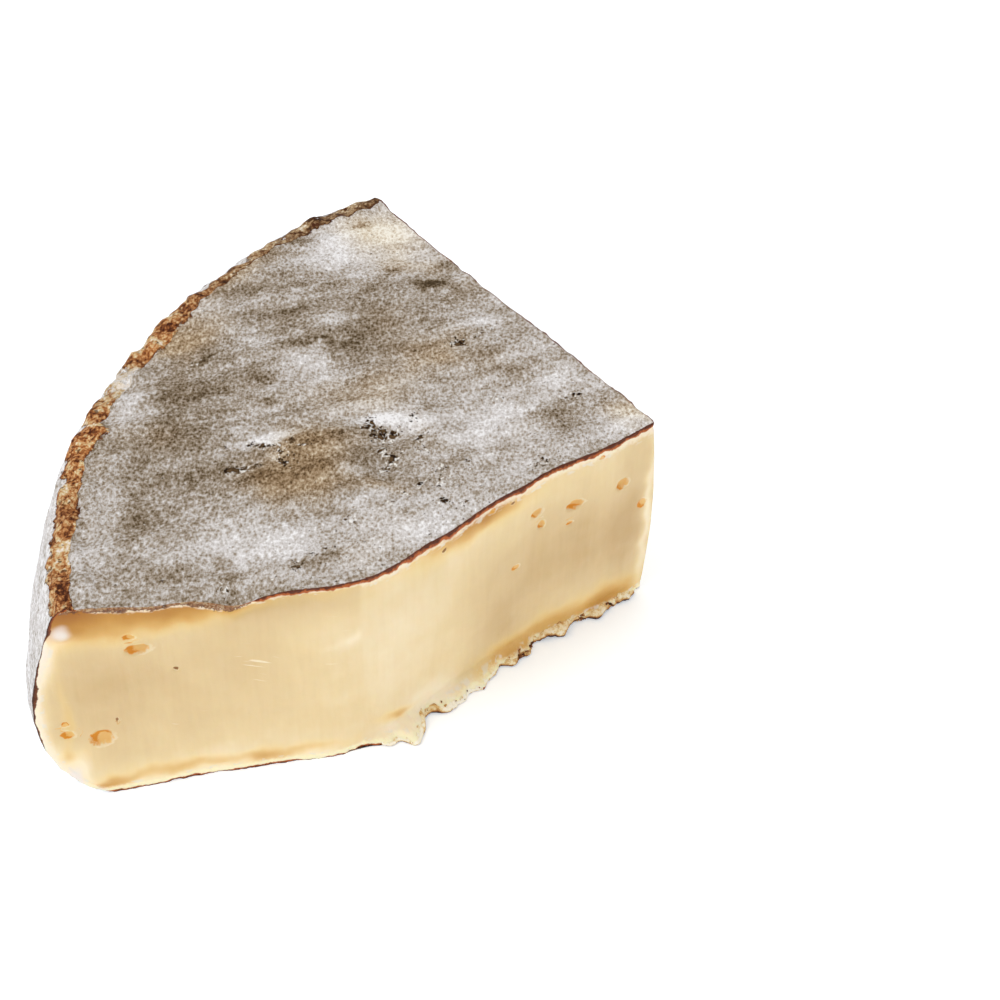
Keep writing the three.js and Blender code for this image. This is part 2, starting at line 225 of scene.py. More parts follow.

# Golden, pale, shaded and scratched spots of the cut faces in the same form, placed by distance
# along the cut and height. The shaded spots are painted shade: darker paste over the far part of
# the long cut, below the front's top edge and across its middle.
FRONT_GOLD = [
    (52, 46, 8, 5.8, 0, 0.66), (41, 46, 13, 6.4, 0, 0.62), (30, 44.8, 8, 4.4, 0, 0.42),
    (22, 46, 6, 3.4, 0, 0.36), (39, 41, 12, 3, 0, 0.16), (6, 46.4, 12, 4, 0, 0.3),
    (53, 21, 1.4, 12, 0, 0.3), (54.4, 11, 2, 5, 70, 0.28), (38, 3.6, 16, 2.4, 0, 0.4),
    (48, 2, 5, 1.5, 0, 0.46), (14, 3.2, 16, 2.2, 0, 0.38), (18.5, 1.6, 3, 1.4, 0, 0.3),
]
LONG_GOLD = [
    (20, 46, 18, 5, 0, 0.45), (52, 46, 16, 3, 0, 0.12), (33, 1.6, 8, 3.4, 0, 0.4),
    (46, 2.4, 11, 5.5, 0, 0.48), (60, 2.4, 8, 5.5, 0, 0.6), (8, 4.7, 5, 1.1, -14, 0.5),
    (29, 44, 11, 3.6, 0, 0.4), (26, 41, 12, 3, 0, 0.22),
]
FRONT_PALE = [
    (51.2, 42.2, 3, 2, 0, 1.5), (54.5, 36, 1.6, 4.5, 0, 0.4), (53.4, 5.4, 6.5, 1.7, 112, 0.9),
    (28, 1, 30, 1.3, 0, 0.6), (30, 4.5, 30, 4, 0, 0.22), (3, 26, 6, 20, 0, 0.16),
    (1.5, 32, 1.2, 4.5, 75, 0.25),
]
# Some pale spots of the long cut are painted light: the bright strip along its edge at the heart and
# the brighter paste near the toe.
LONG_PALE_AND_PAINTED_LIGHT = [
    (8, 24, 11, 18, 0, 0.16), (24, 0.8, 7, 1.2, 0, 0.7), (66.6, 22, 1.1, 20, 0, 0.7),
    (50, 42, 11, 4, 0, 0.12), (9, 1.8, 6, 2, -10, 0.6), (15, 4, 6, 4, 0, 0.42),
]
FRONT_PAINTED_SHADE = [
    (34, 26, 34, 18, 0, 0.2), (48, 26, 12, 14, 0, 0.2), (12, 46, 16, 7, 0, 0.5),
    (21, 44, 4, 3, 0, 0.4),
]
LONG_PAINTED_SHADE = [(32, 14, 8, 14, 10, 0.36), (49, 22, 15, 14, 0, 0.5), (62, 22, 5, 24, 0, 0.35)]
FRONT_SCRATCHES = [(18, 31, 4, 3, -10, 1), (22, 26, 5, 2, -10, 0.8), (6, 33, 4, 3, -10, 0.6)]

# The crust at angles round the rim: where it spreads inwards and down, where it spreads inwards
# alone and where it is worn to its pale pinkish layer, as middle, width and strength
CRUST_BULGES = [(155.5, 2.2, 2.2), (150, 2.4, 1.2), (143, 3, 0.6)]
CRUST_TONGUES = [(183, 3, 0.8), (171.5, 1.2, 2.2)]
WORN_CRUST = [(162.8, 2.4, 1)]

# How orange the crust is at angles round the rim
RUST_BY_ANGLE = [
    (128, 0), (141, 0.15), (149, 0.6), (157, 0.85), (162, 0.2), (166, 0.6), (174, 0.9),
    (181, 0.6), (188, 0.7),
]

# Angles round the rim over which the crust starts higher, gets deeper and gets shallower again,
# and its depth down the side before and after it gets deeper
CRUST_RISES = (146, 152)
CRUST_DEEPENS = (158, 164)
CRUST_SHALLOWS = (172, 178)
CRUST_DEPTHS = (1.8, 2.8)

# Distances from the toe over which the edges of the cuts change: their dark rind, the top's
# dark brink, the pale layer and the mould's fringe, which hangs down most round one place
FRONT_RIND_THINS = (17, 20)
FRONT_RIND_ENDS = (18, 24)
FRONT_BRINK_FADES = (17, 21)
FRONT_LAYER_THINS = (20, 25)
FRONT_LAYER_ENDS = (44, 48)
FRONT_FRINGE_STARTS = (22, 26)
LONGEST_FRINGE = (21.5, 3.0)
LONG_RIND_THICKEST = (14, 14)
LONG_RIND_THINS = (55, 66)
THINNEST_RIND = 0.05

# Heights over which the same edges change where the front cut meets the side
RIM_RIND_STARTS = (13, 17)
RIM_LAYER_ENDS = (38, 41)
RIM_BLOOM_ENDS = (38, 42)

# Torn rind along the foot of the long cut: at distances from the toe, its reach, how high its
# edge is lifted, the height of its root and how pale it is
TORN_EDGE = [
    (3, 0.1, 0.1, 0.6, 1.4), (8.5, 0.3, 0.2, 1, 1.8), (11, 0.3, 0.3, 1.4, 1),
    (13, 0.5, 0.6, 1.7, 0.6), (14.4, 0.8, 0.5, 1.2, 1.2), (16, 1.1, 0.6, 1.6, 0.6),
    (17, 0.9, 0.4, 1.4, 1.3), (18.5, 0.5, 0.3, 1.2, 2), (23, 0.1, 0.2, 0.9, 2.3),
    (29, 0.2, 0.2, 0.9, 1.6), (32, 0.2, 0.2, 1, 0.2), (34.5, 0.3, 0.3, 1.4, 0.9),
    (36.5, 0.2, 0.2, 1, 0.1), (38.5, 0.3, 0.3, 1.2, 0.5), (41, 0.2, 0.3, 1, 0),
    (42.6, 0.5, 0.5, 1.4, 0.6), (44.5, 1.3, 1.2, 1.7, 1), (47.5, 1.5, 1.1, 1.7, 0.9),
    (49.6, 0.9, 1.6, 2.4, 0.7), (51.4, 0.3, 0.8, 1.8, 0.4), (53, 0.2, 0.2, 0.9, 0),
    (54.6, 0.9, 0.6, 1.3, 0.7), (57, 1.4, 0.8, 1.5, 0.9), (58.8, 1, 0.7, 1.3, 0.7),
    (60.2, 0.2, 0.2, 0.9, 0), (62, 0.9, 0.9, 1.5, 0.8), (64, 1.2, 1, 1.7, 0.8),
    (66, 0.3, 0.2, 1, 0.4),
]
TORN_THICKNESS = 0.9
TORN_ACROSS = 12
TORN_STEP = 0.2

# Crumbs along the same foot as middle, spread, count, largest size and darkness
CRUMBS = [
    (7, 2, 5, 0.6, 0.1), (14.6, 3, 16, 0.9, 0.5), (27, 8, 12, 0.6, 0.4),
    (38.8, 3.4, 34, 0.9, 0.5), (52.6, 1.8, 16, 0.8, 0.6), (60.4, 2, 12, 0.8, 0.6),
]
CRUMB_ENDS = (1, 66)  # least and greatest distance from the toe
FLOOR_GAP = 0.02  # how far above the floor loose things stay

# Colours as sRGB from 0 to 255, in a ramp after the value at which each is reached
GREY_MOULD = [
    (0, 240, 238, 238), (0.1, 222, 218, 217), (0.34, 198, 192, 188), (0.54, 165, 153, 139),
    (0.74, 130, 114, 94), (0.9, 96, 80, 60), (1, 70, 56, 38),
]
TAN_MOULD = [
    (0, 242, 236, 222), (0.1, 230, 220, 202), (0.34, 204, 188, 164), (0.54, 170, 147, 118),
    (0.74, 134, 109, 80), (0.9, 100, 78, 54), (1, 72, 54, 34),
]
RUSTY_CRUST = [
    (0, 70, 32, 18), (0.2, 134, 74, 40), (0.4, 194, 126, 70), (0.56, 214, 170, 118),
    (0.7, 220, 202, 152), (0.84, 232, 214, 198), (1, 240, 226, 218),
]
DRAB_CRUST = [
    (0, 62, 42, 28), (0.3, 116, 82, 52), (0.6, 176, 148, 112), (0.8, 206, 190, 162),
    (1, 232, 222, 206),
]
PASTE = [(0, 247, 230, 197), (0.4, 231, 206, 157), (0.75, 215, 186, 137), (1, 199, 166, 115)]
GOLDEN_PASTE = [(0.2, 252, 218, 124), (0.5, 219, 165, 70), (1, 160, 97, 20)]
FUR = [
    (0, 180, 154, 120), (0.25, 146, 102, 60), (0.5, 132, 80, 40), (0.8, 72, 42, 24),
    (1, 46, 28, 16),
]
TORN_RIND = [
    (0, 250, 242, 222), (0.2, 241, 223, 180), (0.38, 217, 177, 114), (0.6, 170, 112, 60),
    (0.8, 112, 62, 30), (1, 60, 30, 14),
]

# Single colours: of the mould and crust, of the paste, of the rind seen in the cuts, of the eyes
FLAKE = (242, 239, 234)
SCAB_DARK = (36, 24, 15)
SCAB_LIGHT = (94, 73, 50)
DOT = (66, 50, 36)
CRACK = (74, 36, 20)
BRINK = (74, 42, 24)
SCRATCH = (250, 240, 214)
CREAM = (246, 232, 206)
# Cream of the pale layer near the foot, brighter than the rest as painted light
FOOT_CREAM_AND_PAINTED_LIGHT = (254, 243, 202)
BLOOM = (238, 228, 220)
DASH = (232, 226, 214)
RIND_LINE_DARK = (84, 36, 14)
RIND_LINE_LIGHT = (178, 94, 44)
RIM_LINE = (66, 38, 24)
# Eye colours, all painted light: the lip's pale painted highlight, the orange painted shade of the
# hollow and its crescent, and the brown painted shade of pinholes
EYE_PAINTED_HIGHLIGHT = (246, 232, 200)
EYE_HOLLOW_PAINTED_SHADE = (238, 180, 76)
EYE_SHADE = (216, 136, 0)
PINHOLE_PAINTED_SHADE = (150, 104, 56)

# Camera, from the photograph, round the wheel's centre
CAMERA_PLACE = (-23.04, -215.67, 262.8)
CAMERA_TILT = 44.5
CAMERA_LENS = 61.2
SENSOR = 36.0

# Surroundings, in metres and watts, with linear colours: lights as name, place, size and power
FLOOR_SIZE = 3.0
FLOOR_COLOUR = (0.93, 0.945, 0.96, 1)
FLOOR_GLOW = (0.85, 0.93, 1, 1)
FLOOR_GLOW_STRENGTH = 0.26
LIGHTS = [
    ("left", (-0.75, -0.4, 0.75), 0.7, 4.15),
    ("right", (0.65, -0.75, 0.6), 0.7, 3.2),
    ("overhead", (-0.1, 0.3, 1.2), 1.2, 5.9),
]
WORLD_STRENGTH = 0.46

# Grid of the skin, whose rows are crowded within reach of the foot and of the top edge, and
# the rings of the base as shares of its outline
ARC_STEPS = 160
INWARD_STEPS = 130
LEVEL_STEPS = 130
EDGE_CROWDING = 2.0
EDGE_REACH = 3.0
BASE_RINGS = (0.94, 0.75, 0.4)
ROUNDED_EDGE = 1.2  # how far from an edge of the cuts the skin is softened

# The bake's map: a sheet on which each side of the piece has a rectangle, in mm, and what runs
# across and up it
SHEET = (172.0, 190.0)
SHEET_GAP = 0.35
SHEET_PLACES = {
    "top": (0, 0, 105, 92, "u", "v"),
    "long": (105, 0, 67, 46, "u", "up"),
    "front": (105, 46, 67, 46, "v", "up"),
    "side": (0, 92, 172, 52, "u", "up"),
    "back": (0, 144, 110, 46, "v", "up"),
    "base": (110, 144, 62, 46, "u", "v"),
}

CUT_SIDES = ["long", "front", "back"]

FAR = 60.0  # a distance that stands for nowhere near


# Plain maths

def smoothstep(value, low, high):
    share = np.clip((value - low) / (high - low), 0, 1)
    return share * share * (3 - 2 * share)


def mix(a, b, share):
    return a + (b - a) * share


def direction(degrees):
    angle = np.radians(degrees)
    return np.stack([np.cos(angle), np.sin(angle)], axis=-1)


def degrees_of(way):
    return np.degrees(np.arctan2(way[..., 1], way[..., 0])) % 360


def column(values):
    return np.asarray(values)[..., None]


def turned(places, degrees):
    """Places in plan as their distances along a direction and across it."""
    way = direction(degrees)
    return np.column_stack([places @ way, places[:, 1] * way[0] - places[:, 0] * way[1]])


def bump(value, middle, width):
    return np.exp(-((value - middle) / width) ** 2)


def bumps(value, spots):
    return sum(strength * bump(value, middle, width) for middle, width, strength in spots)


def wave_sum(waves, x, y):
    total = 0
    for size, length, degrees, shift in waves:
        way = direction(degrees)
        total = total + size * np.sin(2 * np.pi * (x * way[0] + y * way[1]) / length + shift)
    return total


def end_fade(share, width):
    return smoothstep(np.minimum(share, 1 - share), 0, width)


def noise(points, size, seed, octaves=1):
    """Gradient noise from about -1 to 1, whose largest features have the given size."""
    rng = np.random.default_rng(seed)
    order = np.tile(rng.permutation(256), 2)
    ways = rng.normal(size=(256, 3))
    ways /= np.linalg.norm(ways, axis=1, keepdims=True)
    total = np.zeros(len(points))
    weight = 1.0
    for octave in range(octaves):
        cell = points / size * 2.0 ** octave + rng.uniform(0, 50, 3)
        low = np.floor(cell).astype(int)
        part = cell - low
        fade = part ** 3 * (part * (part * 6 - 15) + 10)
        for corner in itertools.product((0, 1), repeat=3):
            x, y, z = ((low + corner) & 255).T
            pick = order[order[order[x] + y] + z]
            share = np.prod(np.where(corner, fade, 1 - fade), axis=1)
            total += weight * share * np.sum(ways[pick] * (part - corner), axis=1)
        weight *= 0.5
    return 1.6 * total


def line_noise(values, size, seed, octaves):
    """The same noise along a line."""
    none = np.zeros_like(values)
    return noise(np.column_stack([values, none, none]), size, seed, octaves)


def ridged(points, size, seed, octaves):
    """Noise with sharp ridges, from 0 to 1."""
    return 1 - np.minimum(1, 2.2 * np.abs(noise(points, size, seed, octaves)))


def blotches(places, spots):
    """How strongly the listed spots cover each place."""
    total = np.zeros(len(places))
    for x, y, length, width, degrees, strength in spots:
        off = turned(places - (x, y), degrees) / (length, width)
        total += strength * np.exp(-np.sum(off * off, axis=1))
    return total


# The part's shape

SIDE_BENDS = [
    [
        (BASE_RADIUS, 0),
        (BASE_RADIUS + FOOT_HANDLE, 0),
        (BULGE_RADIUS, BULGE_HEIGHT - BULGE_HANDLE),
        (BULGE_RADIUS, BULGE_HEIGHT),
    ],
    [
        (BULGE_RADIUS, BULGE_HEIGHT),
        (BULGE_RADIUS, BULGE_HEIGHT + BULGE_HANDLE),
        (SHOULDER_RADIUS + SHOULDER_HANDLE[0], SHOULDER_HEIGHT - SHOULDER_HANDLE[1]),
        (SHOULDER_RADIUS, SHOULDER_HEIGHT),
    ],
    [
        (SHOULDER_RADIUS, SHOULDER_HEIGHT),
        (SHOULDER_RADIUS - RIM_HANDLE[0], WHEEL_HEIGHT - RIM_HANDLE[1]),
        (TOP_RADIUS + TOP_HANDLE, WHEEL_HEIGHT),
        (TOP_RADIUS, WHEEL_HEIGHT),
    ],
]


def bezier(places, share):
    a, b, c, d = (np.array(place) for place in places)
    t = column(share)
    return a * (1 - t) ** 3 + 3 * b * t * (1 - t) ** 2 + 3 * c * t * t * (1 - t) + d * t ** 3


def side_profile(level):
    """Radius and height of the side at levels from 0, its foot, to 1, the top."""
    place = np.asarray(level) * len(SIDE_BENDS)
    index = np.minimum(place.astype(int), len(SIDE_BENDS) - 1)
    found = np.zeros(place.shape + (2,))
    for number, bend in enumerate(SIDE_BENDS):
        here = index == number
        found[here] = bezier(bend, place[here] - number)
    return found[..., 0], found[..., 1]


def cut_end(start, degrees, radius):
    """Where a cut that starts inside the wheel reaches a circle round its centre."""
    way = direction(degrees)
    half = np.sum(start * way, axis=-1)
    length = -half + np.sqrt(half * half - np.sum(start * start, axis=-1) + radius * radius)
    return start + way * column(length)


def side_ripple(angle, level, share):
    around = np.radians(angle) * BULGE_RADIUS
    up = level * WHEEL_HEIGHT
    crust = CRUST_HEIGHT * wave_sum(CRUST_WAVES, around, up)
    crust = crust * smoothstep(level, CRUST_LEVEL, CRUST_FULL_LEVEL)
    fade = smoothstep(level, 0, FOOT_FADE) * end_fade(share, CORNER_FADE)
    return (crust + wave_sum(CUT_WAVES, around, up)) * fade


def knife_relief(away, height, share):
    return wave_sum(CUT_WAVES, away, height) * end_fade(share, KNIFE_FADE)


def foot_relief(away, height, share):
    reach = TATTER_REACH * (1 + wave_sum(TATTER_WAVES, away, 0)) * end_fade(share, TATTER_FADE)
    for middle, half_width, size in FOOT_LOBES:
        reach = reach + size * np.exp(-(np.abs(away - middle) / half_width) ** LOBE_SQUARENESS)
    return reach * (1 - smoothstep(height, LOBE_BOTTOM, LOBE_TOP))


class Section:
    """The outline of the piece at each of many levels: four sides, each by a share from 0 to 1."""

    def __init__(self, level):
        self.level = level
        self.radius, self.height = side_profile(level)
        up = self.height / WHEEL_HEIGHT
        self.front_degrees = mix(FRONT_CUT_BASE, FRONT_CUT_TOP, up)
        self.toe = TOE + TOE_LEAN * column(1 - up)
        self.heart = HEART + column(HEART_BULGE * np.sin(np.pi * up)) * (1, 0)
        self.rim_front = cut_end(self.toe, self.front_degrees, self.radius)
        self.rim_back = cut_end(self.heart, BACK_CUT, self.radius + BACK_SWELL)
        self.front_angle = degrees_of(self.rim_front)
        self.back_angle = degrees_of(self.rim_back)
        self.front_length = np.linalg.norm(self.rim_front - self.toe, axis=1)
        self.back_length = np.linalg.norm(self.rim_back - self.heart, axis=1)
        self.long_length = np.linalg.norm(self.heart - self.toe, axis=1)
        self.long_degrees = degrees_of(self.heart - self.toe)
        out_front = direction(self.front_degrees + 90)
        out_long = direction(self.long_degrees - 90)
        half_fold = np.sqrt((1 - np.sum(out_front * out_long, axis=1)) / 2)
        middle = (out_front + out_long) / np.linalg.norm(out_front + out_long, axis=1, keepdims=True)
        self.toe_inward = -middle * column(half_fold) * TOE_SOFTNESS / 2

    def fold(self, away):
        """The soft fold at the toe: how far it is pulled in."""
        return self.toe_inward * column(np.maximum(0, 1 - away / TOE_SOFTNESS) ** 2)

    def arc(self, share):
        angle = mix(self.front_angle, self.back_angle, share)
        swell = BACK_SWELL * (1 - smoothstep(angle, SWELL_ENDS, SWELL_FADES))
        return direction(angle) * column(self.radius + swell + side_ripple(angle, self.level, share))

    def front(self, share):
        away = self.front_length * (1 - share)
        relief = knife_relief(away, self.height, share)
        place = mix(self.rim_front, self.toe, column(share)) + self.fold(away)
        return place + direction(self.front_degrees + 90) * column(relief)

    def back(self, share):
        relief = knife_relief(self.front_length * share, self.height, share)
        place = mix(self.rim_back, self.heart, column(share))
        return place + direction(BACK_CUT - 90) * column(relief)

    def long(self, share):
        away = self.long_length * share
        hollow = LONG_CUT_HOLLOW * np.minimum(share / HOLLOW_AT, (1 - share) / (1 - HOLLOW_AT))
        relief = knife_relief(away, self.height, share) + foot_relief(away, self.height, share) - hollow
        place = mix(self.toe, self.heart, column(share)) + self.fold(away)
        return place + direction(self.long_degrees - 90) * column(relief)


def rind_sag(place):
    along, across = turned(place - TOE, FRONT_CUT_TOP).T
    return SAG_DROP * bump(along, SAG_AWAY, SAG_WIDTH) * (1 - smoothstep(np.abs(across), 0, SAG_FADE))


def top_relief(place):
    x, y = place.T
    across = place @ direction(STRAW_DIRECTION) + wave_sum(TOP_WAVES, x, y)
    straw = STRAW_HEIGHT * (1 + wave_sum(TOP_WAVES, y, x)) * np.sin(2 * np.pi * across / STRAW_SPACING)
    rim = smoothstep(np.hypot(x, y), TOP_RADIUS - CRUST_WIDTH, TOP_RADIUS)
    relief = wave_sum(TOP_WAVES, x, y) + straw + CRUST_HEIGHT * rim * wave_sum(CRUST_WAVES, x, y)
    for pit_x, pit_y, width, depth in PITS:
        relief = relief - depth * bump(np.hypot(x - pit_x, y - pit_y), 0, width)
    return relief - rind_sag(place)


def skin_points(along_arc, inward, level):
    """Places of the piece: shares along the arc and from the rim inwards, and a level."""
    section = Section(level)
    none = np.zeros_like(along_arc)
    u = column(along_arc)
    v = column(inward)
    across = mix(section.arc(along_arc), section.long(along_arc), v)
    along = mix(section.front(inward), section.back(inward), u)
    near = mix(section.arc(none), section.long(none), v)
    far = mix(section.arc(none + 1), section.long(none + 1), v)
    place = across + along - mix(near, far, u)
    lift = smoothstep(level, TOP_START, 1) * top_relief(place)
    return np.column_stack([place, section.height + lift]), section


# The fine grid of the skin

FINE_LEVELS = np.linspace(0, 1, 3001)
FINE_RADIUS, FINE_HEIGHT = side_profile(FINE_LEVELS)
FINE_STEPS = np.hypot(np.diff(FINE_RADIUS), np.diff(FINE_HEIGHT))


def crowded_levels():
    """Levels for the grid's rows, closer together near the foot and the top edge."""
    height = FINE_HEIGHT[1:]
    nearness = np.exp(-height / EDGE_REACH) + np.exp((height - WHEEL_HEIGHT) / EDGE_REACH)
    total = np.append(0, np.cumsum(FINE_STEPS * (1 + EDGE_CROWDING * nearness)))
    return np.interp(np.linspace(0, total[-1], LEVEL_STEPS + 1), total, FINE_LEVELS)


def grid_faces(ids):
    corners = [ids[:-1, :-1], ids[1:, :-1], ids[1:, 1:], ids[:-1, 1:]]
    return np.stack(corners, axis=-1).reshape(-1, 4)


def ring_faces(outer, inner):
    return np.stack([outer, np.roll(outer, -1), np.roll(inner, -1), inner], axis=-1)


def outline(ids):
    """The numbers along the edges of a grid, once round."""
    return np.concatenate([ids[:-1, 0], ids[-1, :-1], ids[:0:-1, -1], ids[0, :0:-1]])


class Skin:
    """A closed grid over the piece, with what the relief and the materials need to know."""

    def __init__(self):
        self.number_grid()
        self.join_faces()
        self.places, section = skin_points(self.u, self.v, self.w)
        self.measure(section)

    def number_grid(self):
        shape = (ARC_STEPS + 1, INWARD_STEPS + 1, LEVEL_STEPS + 1)
        i, j, k = np.indices(shape)
        used = (i % ARC_STEPS == 0) | (j % INWARD_STEPS == 0) | (k == LEVEL_STEPS)
        self.ids = np.full(shape, -1)
        self.ids[used] = np.arange(used.sum())
        self.above = self.ids[i[used], j[used], LEVEL_STEPS]
        self.u = i[used] / ARC_STEPS
        self.v = j[used] / INWARD_STEPS
        self.w = crowded_levels()[k[used]]

    def add_base(self, u, v):
        self.u = np.append(self.u, u)
        self.v = np.append(self.v, v)
        self.w = np.append(self.w, np.zeros_like(u))

    def join_faces(self):
        blocks = {
            "top": grid_faces(self.ids[:, :, -1].T),
            "side": grid_faces(self.ids[:, 0, :].T),
            "long": grid_faces(self.ids[:, -1, :]),
            "front": grid_faces(self.ids[0, :, :]),
            "back": grid_faces(self.ids[-1, :, :].T),
        }
        outer = outline(self.ids[:, :, 0])
        u, v = self.u[outer], self.v[outer]
        rings = []
        for share in BASE_RINGS:
            inner = len(self.u) + np.arange(len(outer))
            self.add_base(mix(0.5, u, share), mix(0.5, v, share))
            rings.append(ring_faces(outer, inner))
            outer = inner
        blocks["base"] = np.concatenate(rings)
        self.fan = np.stack([outer, np.roll(outer, -1), np.full(len(outer), len(self.u))], axis=-1)
        self.add_base(0.5, 0.5)
        self.quads = np.concatenate(list(blocks.values()))
        counts = [len(block) for block in blocks.values()]
        self.regions = np.append(np.repeat(list(blocks), counts), ["base"] * len(self.fan))

    def measure(self, section):
        """Distances to the edges of the cuts and along them."""
        self.angle = degrees_of(self.places)
        self.level_height = section.height
        self.on_top = self.w == 1
        self.on_front = (self.u == 0) & (self.w > 0)
        self.on_back = (self.u == 1) & (self.w > 0)
        self.on_long = (self.v == 1) & (self.w > 0)
        self.on_side = (self.v == 0) & (self.w > 0)
        count = len(self.above)
        height = self.places[:, 2]
        self.below_top = np.full(len(self.u), FAR)
        self.below_top[:count] = height[self.above] - height[:count]
        from_rim = [section.front_length * self.v, section.back_length * self.v]
        self.from_rim = np.select([self.on_front, self.on_back], from_rim, FAR)
        cuts = [self.on_long, self.on_front, self.on_back]
        long_away = section.long_length * self.u
        front_away = section.front_length * (1 - self.v)
        back_away = section.back_length * (1 - self.v)
        self.away = np.select(cuts, [long_away, front_away, back_away], 0)
        along = [long_away, -front_away, section.long_length + back_away]
        self.along = np.select(cuts, along, section.long_length)
        self.cut_place = np.column_stack([self.away, self.level_height])


# Fields over the skin, one value for each vertex

def along_straw(points, stretch):
    """Points squeezed along the straw marks, so that noise on them comes out stretched."""
    plan = turned(points[:, :2], STRAW_DIRECTION - 90) / (stretch, 1)
    return np.column_stack([plan, points[:, 2]])


def rind_fields(skin):
    """Brown mould, ochre stains and dark specks over the rind, each about 0 to 1."""
    points = skin.places
    wander = 2.0 * np.column_stack([noise(points, 8, 51, 3), noise(points, 8, 52, 3)])
    wander += 0.7 * np.column_stack([noise(points, 2, 53, 2), noise(points, 2, 54, 2)])
    plan = points[:, :2] + wander
    streaks = noise(along_straw(points, 4.0), 4.2, 55, 3)
    clouds = noise(points, 14, 56, 3)
    stains = blotches(plan, BROWN_BLOTCHES + BROAD_TONES) - blotches(plan, WHITE_BLOTCHES)
    top_tone = 0.54 + 0.13 * streaks + 0.07 * clouds + 0.9 * stains
    side_tone = 0.12 + 0.22 * noise(points * (1, 1, 2.6), 7, 57, 3)
    brown = np.where(skin.on_top, top_tone, side_tone)
    ochre = 0.12 + 0.2 * clouds + blotches(plan, OCHRE_BLOTCHES) * skin.on_top
    specks = blotches(points[:, :2] + 0.25 * wander, SPECK_BLOTCHES)
    near_cut = bump((points[:, :2] - TOE) @ direction(SPECKLED_WAY), 0, SPECKLED_WIDTH)
    specks = (specks + 0.1 * near_cut) * skin.on_top + 0.02
    return brown, ochre, specks


def crust_field(skin):
    """How much of the skin is rough orange-brown crust: a band along the rim, wider at places."""
    points = skin.places
    angle = skin.angle
    rough = 1.2 * noise(points, 2.6, 21, 3)
    left = smoothstep(angle, *CRUST_DEEPENS)
    bulge = bumps(angle, CRUST_BULGES)
    reach_in = bulge - 0.8 + 0.3 * left + bumps(angle, CRUST_TONGUES)
    starts_down = -0.5 - 0.3 * smoothstep(angle, *CRUST_RISES) - 0.6 * bulge
    reach_down = mix(*CRUST_DEPTHS, left) + 0.6 * bulge - 1.2 * smoothstep(angle, *CRUST_SHALLOWS)
    reach_down += 0.9 * noise(points, 9, 22)
    inwards = TOP_RADIUS - np.linalg.norm(points[:, :2], axis=1)
    inner = smoothstep(reach_in + rough - inwards, -0.9, 0.9)
    lower = smoothstep(reach_down + rough - skin.below_top, -0.8, 0.8)
    upper = smoothstep(skin.below_top - starts_down + 0.5 * rough, -0.3, 0.3)
    crust = np.where(skin.on_top, inner, lower * upper * skin.on_side)
    return crust * (1 - 0.5 * bumps(angle, WORN_CRUST))


def brink_field(skin):
    """1 on the top's edges along the cuts, where the rind shows dark, and 0 on the rest of the top."""
    front = mix(1.0, 0.62, smoothstep(skin.away, *FRONT_BRINK_FADES)) * (skin.u == 0)
    back = 0.55 * (skin.u == 1)
    return skin.on_top * np.maximum(skin.v == 1, np.maximum(front, back))


def rind_line(skin):
    """How far below the skin a place of a cut is, with the dark rind's thickness there as 1."""
    away = skin.away
    front = 0.95 - 0.65 * smoothstep(away, *FRONT_RIND_THINS)
    long = 1.0 + 0.25 * bump(away, *LONG_RIND_THICKEST) - 0.25 * smoothstep(away, *LONG_RIND_THINS)
    top = np.select([skin.on_front, skin.on_long], [front, long], 0.9)
    top = top * (1 + 0.5 * line_noise(skin.along, 3, 34, 3))
    broken = 0.65 + 0.7 * line_noise(skin.level_height, 6, 33, 3)
    rim = np.where(skin.on_front, broken * smoothstep(skin.level_height, *RIM_RIND_STARTS), 0.6)
    base = 0.4 + 0.4 * line_noise(skin.along, 5, 32, 3)
    gone = 3 * skin.on_front * smoothstep(away, *FRONT_RIND_ENDS)
    below = gone + skin.below_top / np.maximum(top, THINNEST_RIND)
    above = skin.level_height / np.maximum(base, THINNEST_RIND)
    beside = skin.from_rim / np.maximum(rim, THINNEST_RIND)
    return np.minimum.reduce([below, above, beside])


def pale_band(skin):
    """How far below the skin a place of a cut is, with the inner edge of the pale layer as 1."""
    away = skin.away
    thinner = 0.5 * smoothstep(away, *FRONT_LAYER_THINS) + 0.7 * smoothstep(away, *FRONT_LAYER_ENDS)
    top = np.where(skin.on_front, 1.3 - thinner, 2.2)
    narrower = 1.4 * smoothstep(skin.level_height, *RIM_LAYER_ENDS)
    rim = np.where(skin.on_front, 1.5 - narrower, 2.2)
    base = np.where(skin.on_long, 1.7, 1.5)
    return np.minimum.reduce([skin.below_top / top, skin.level_height / base, skin.from_rim / rim])


def fringe_field(skin):
    """How far below the top edge a place of a cut is, with the reach of the mould's fringe as 1."""
    away = skin.away
    front = 0.2 + 0.45 * smoothstep(away, *FRONT_FRINGE_STARTS) + 1.3 * bump(away, *LONGEST_FRINGE)
    reach = np.where(skin.on_front, front, 0.2)
    return np.minimum(skin.below_top / reach, FAR)


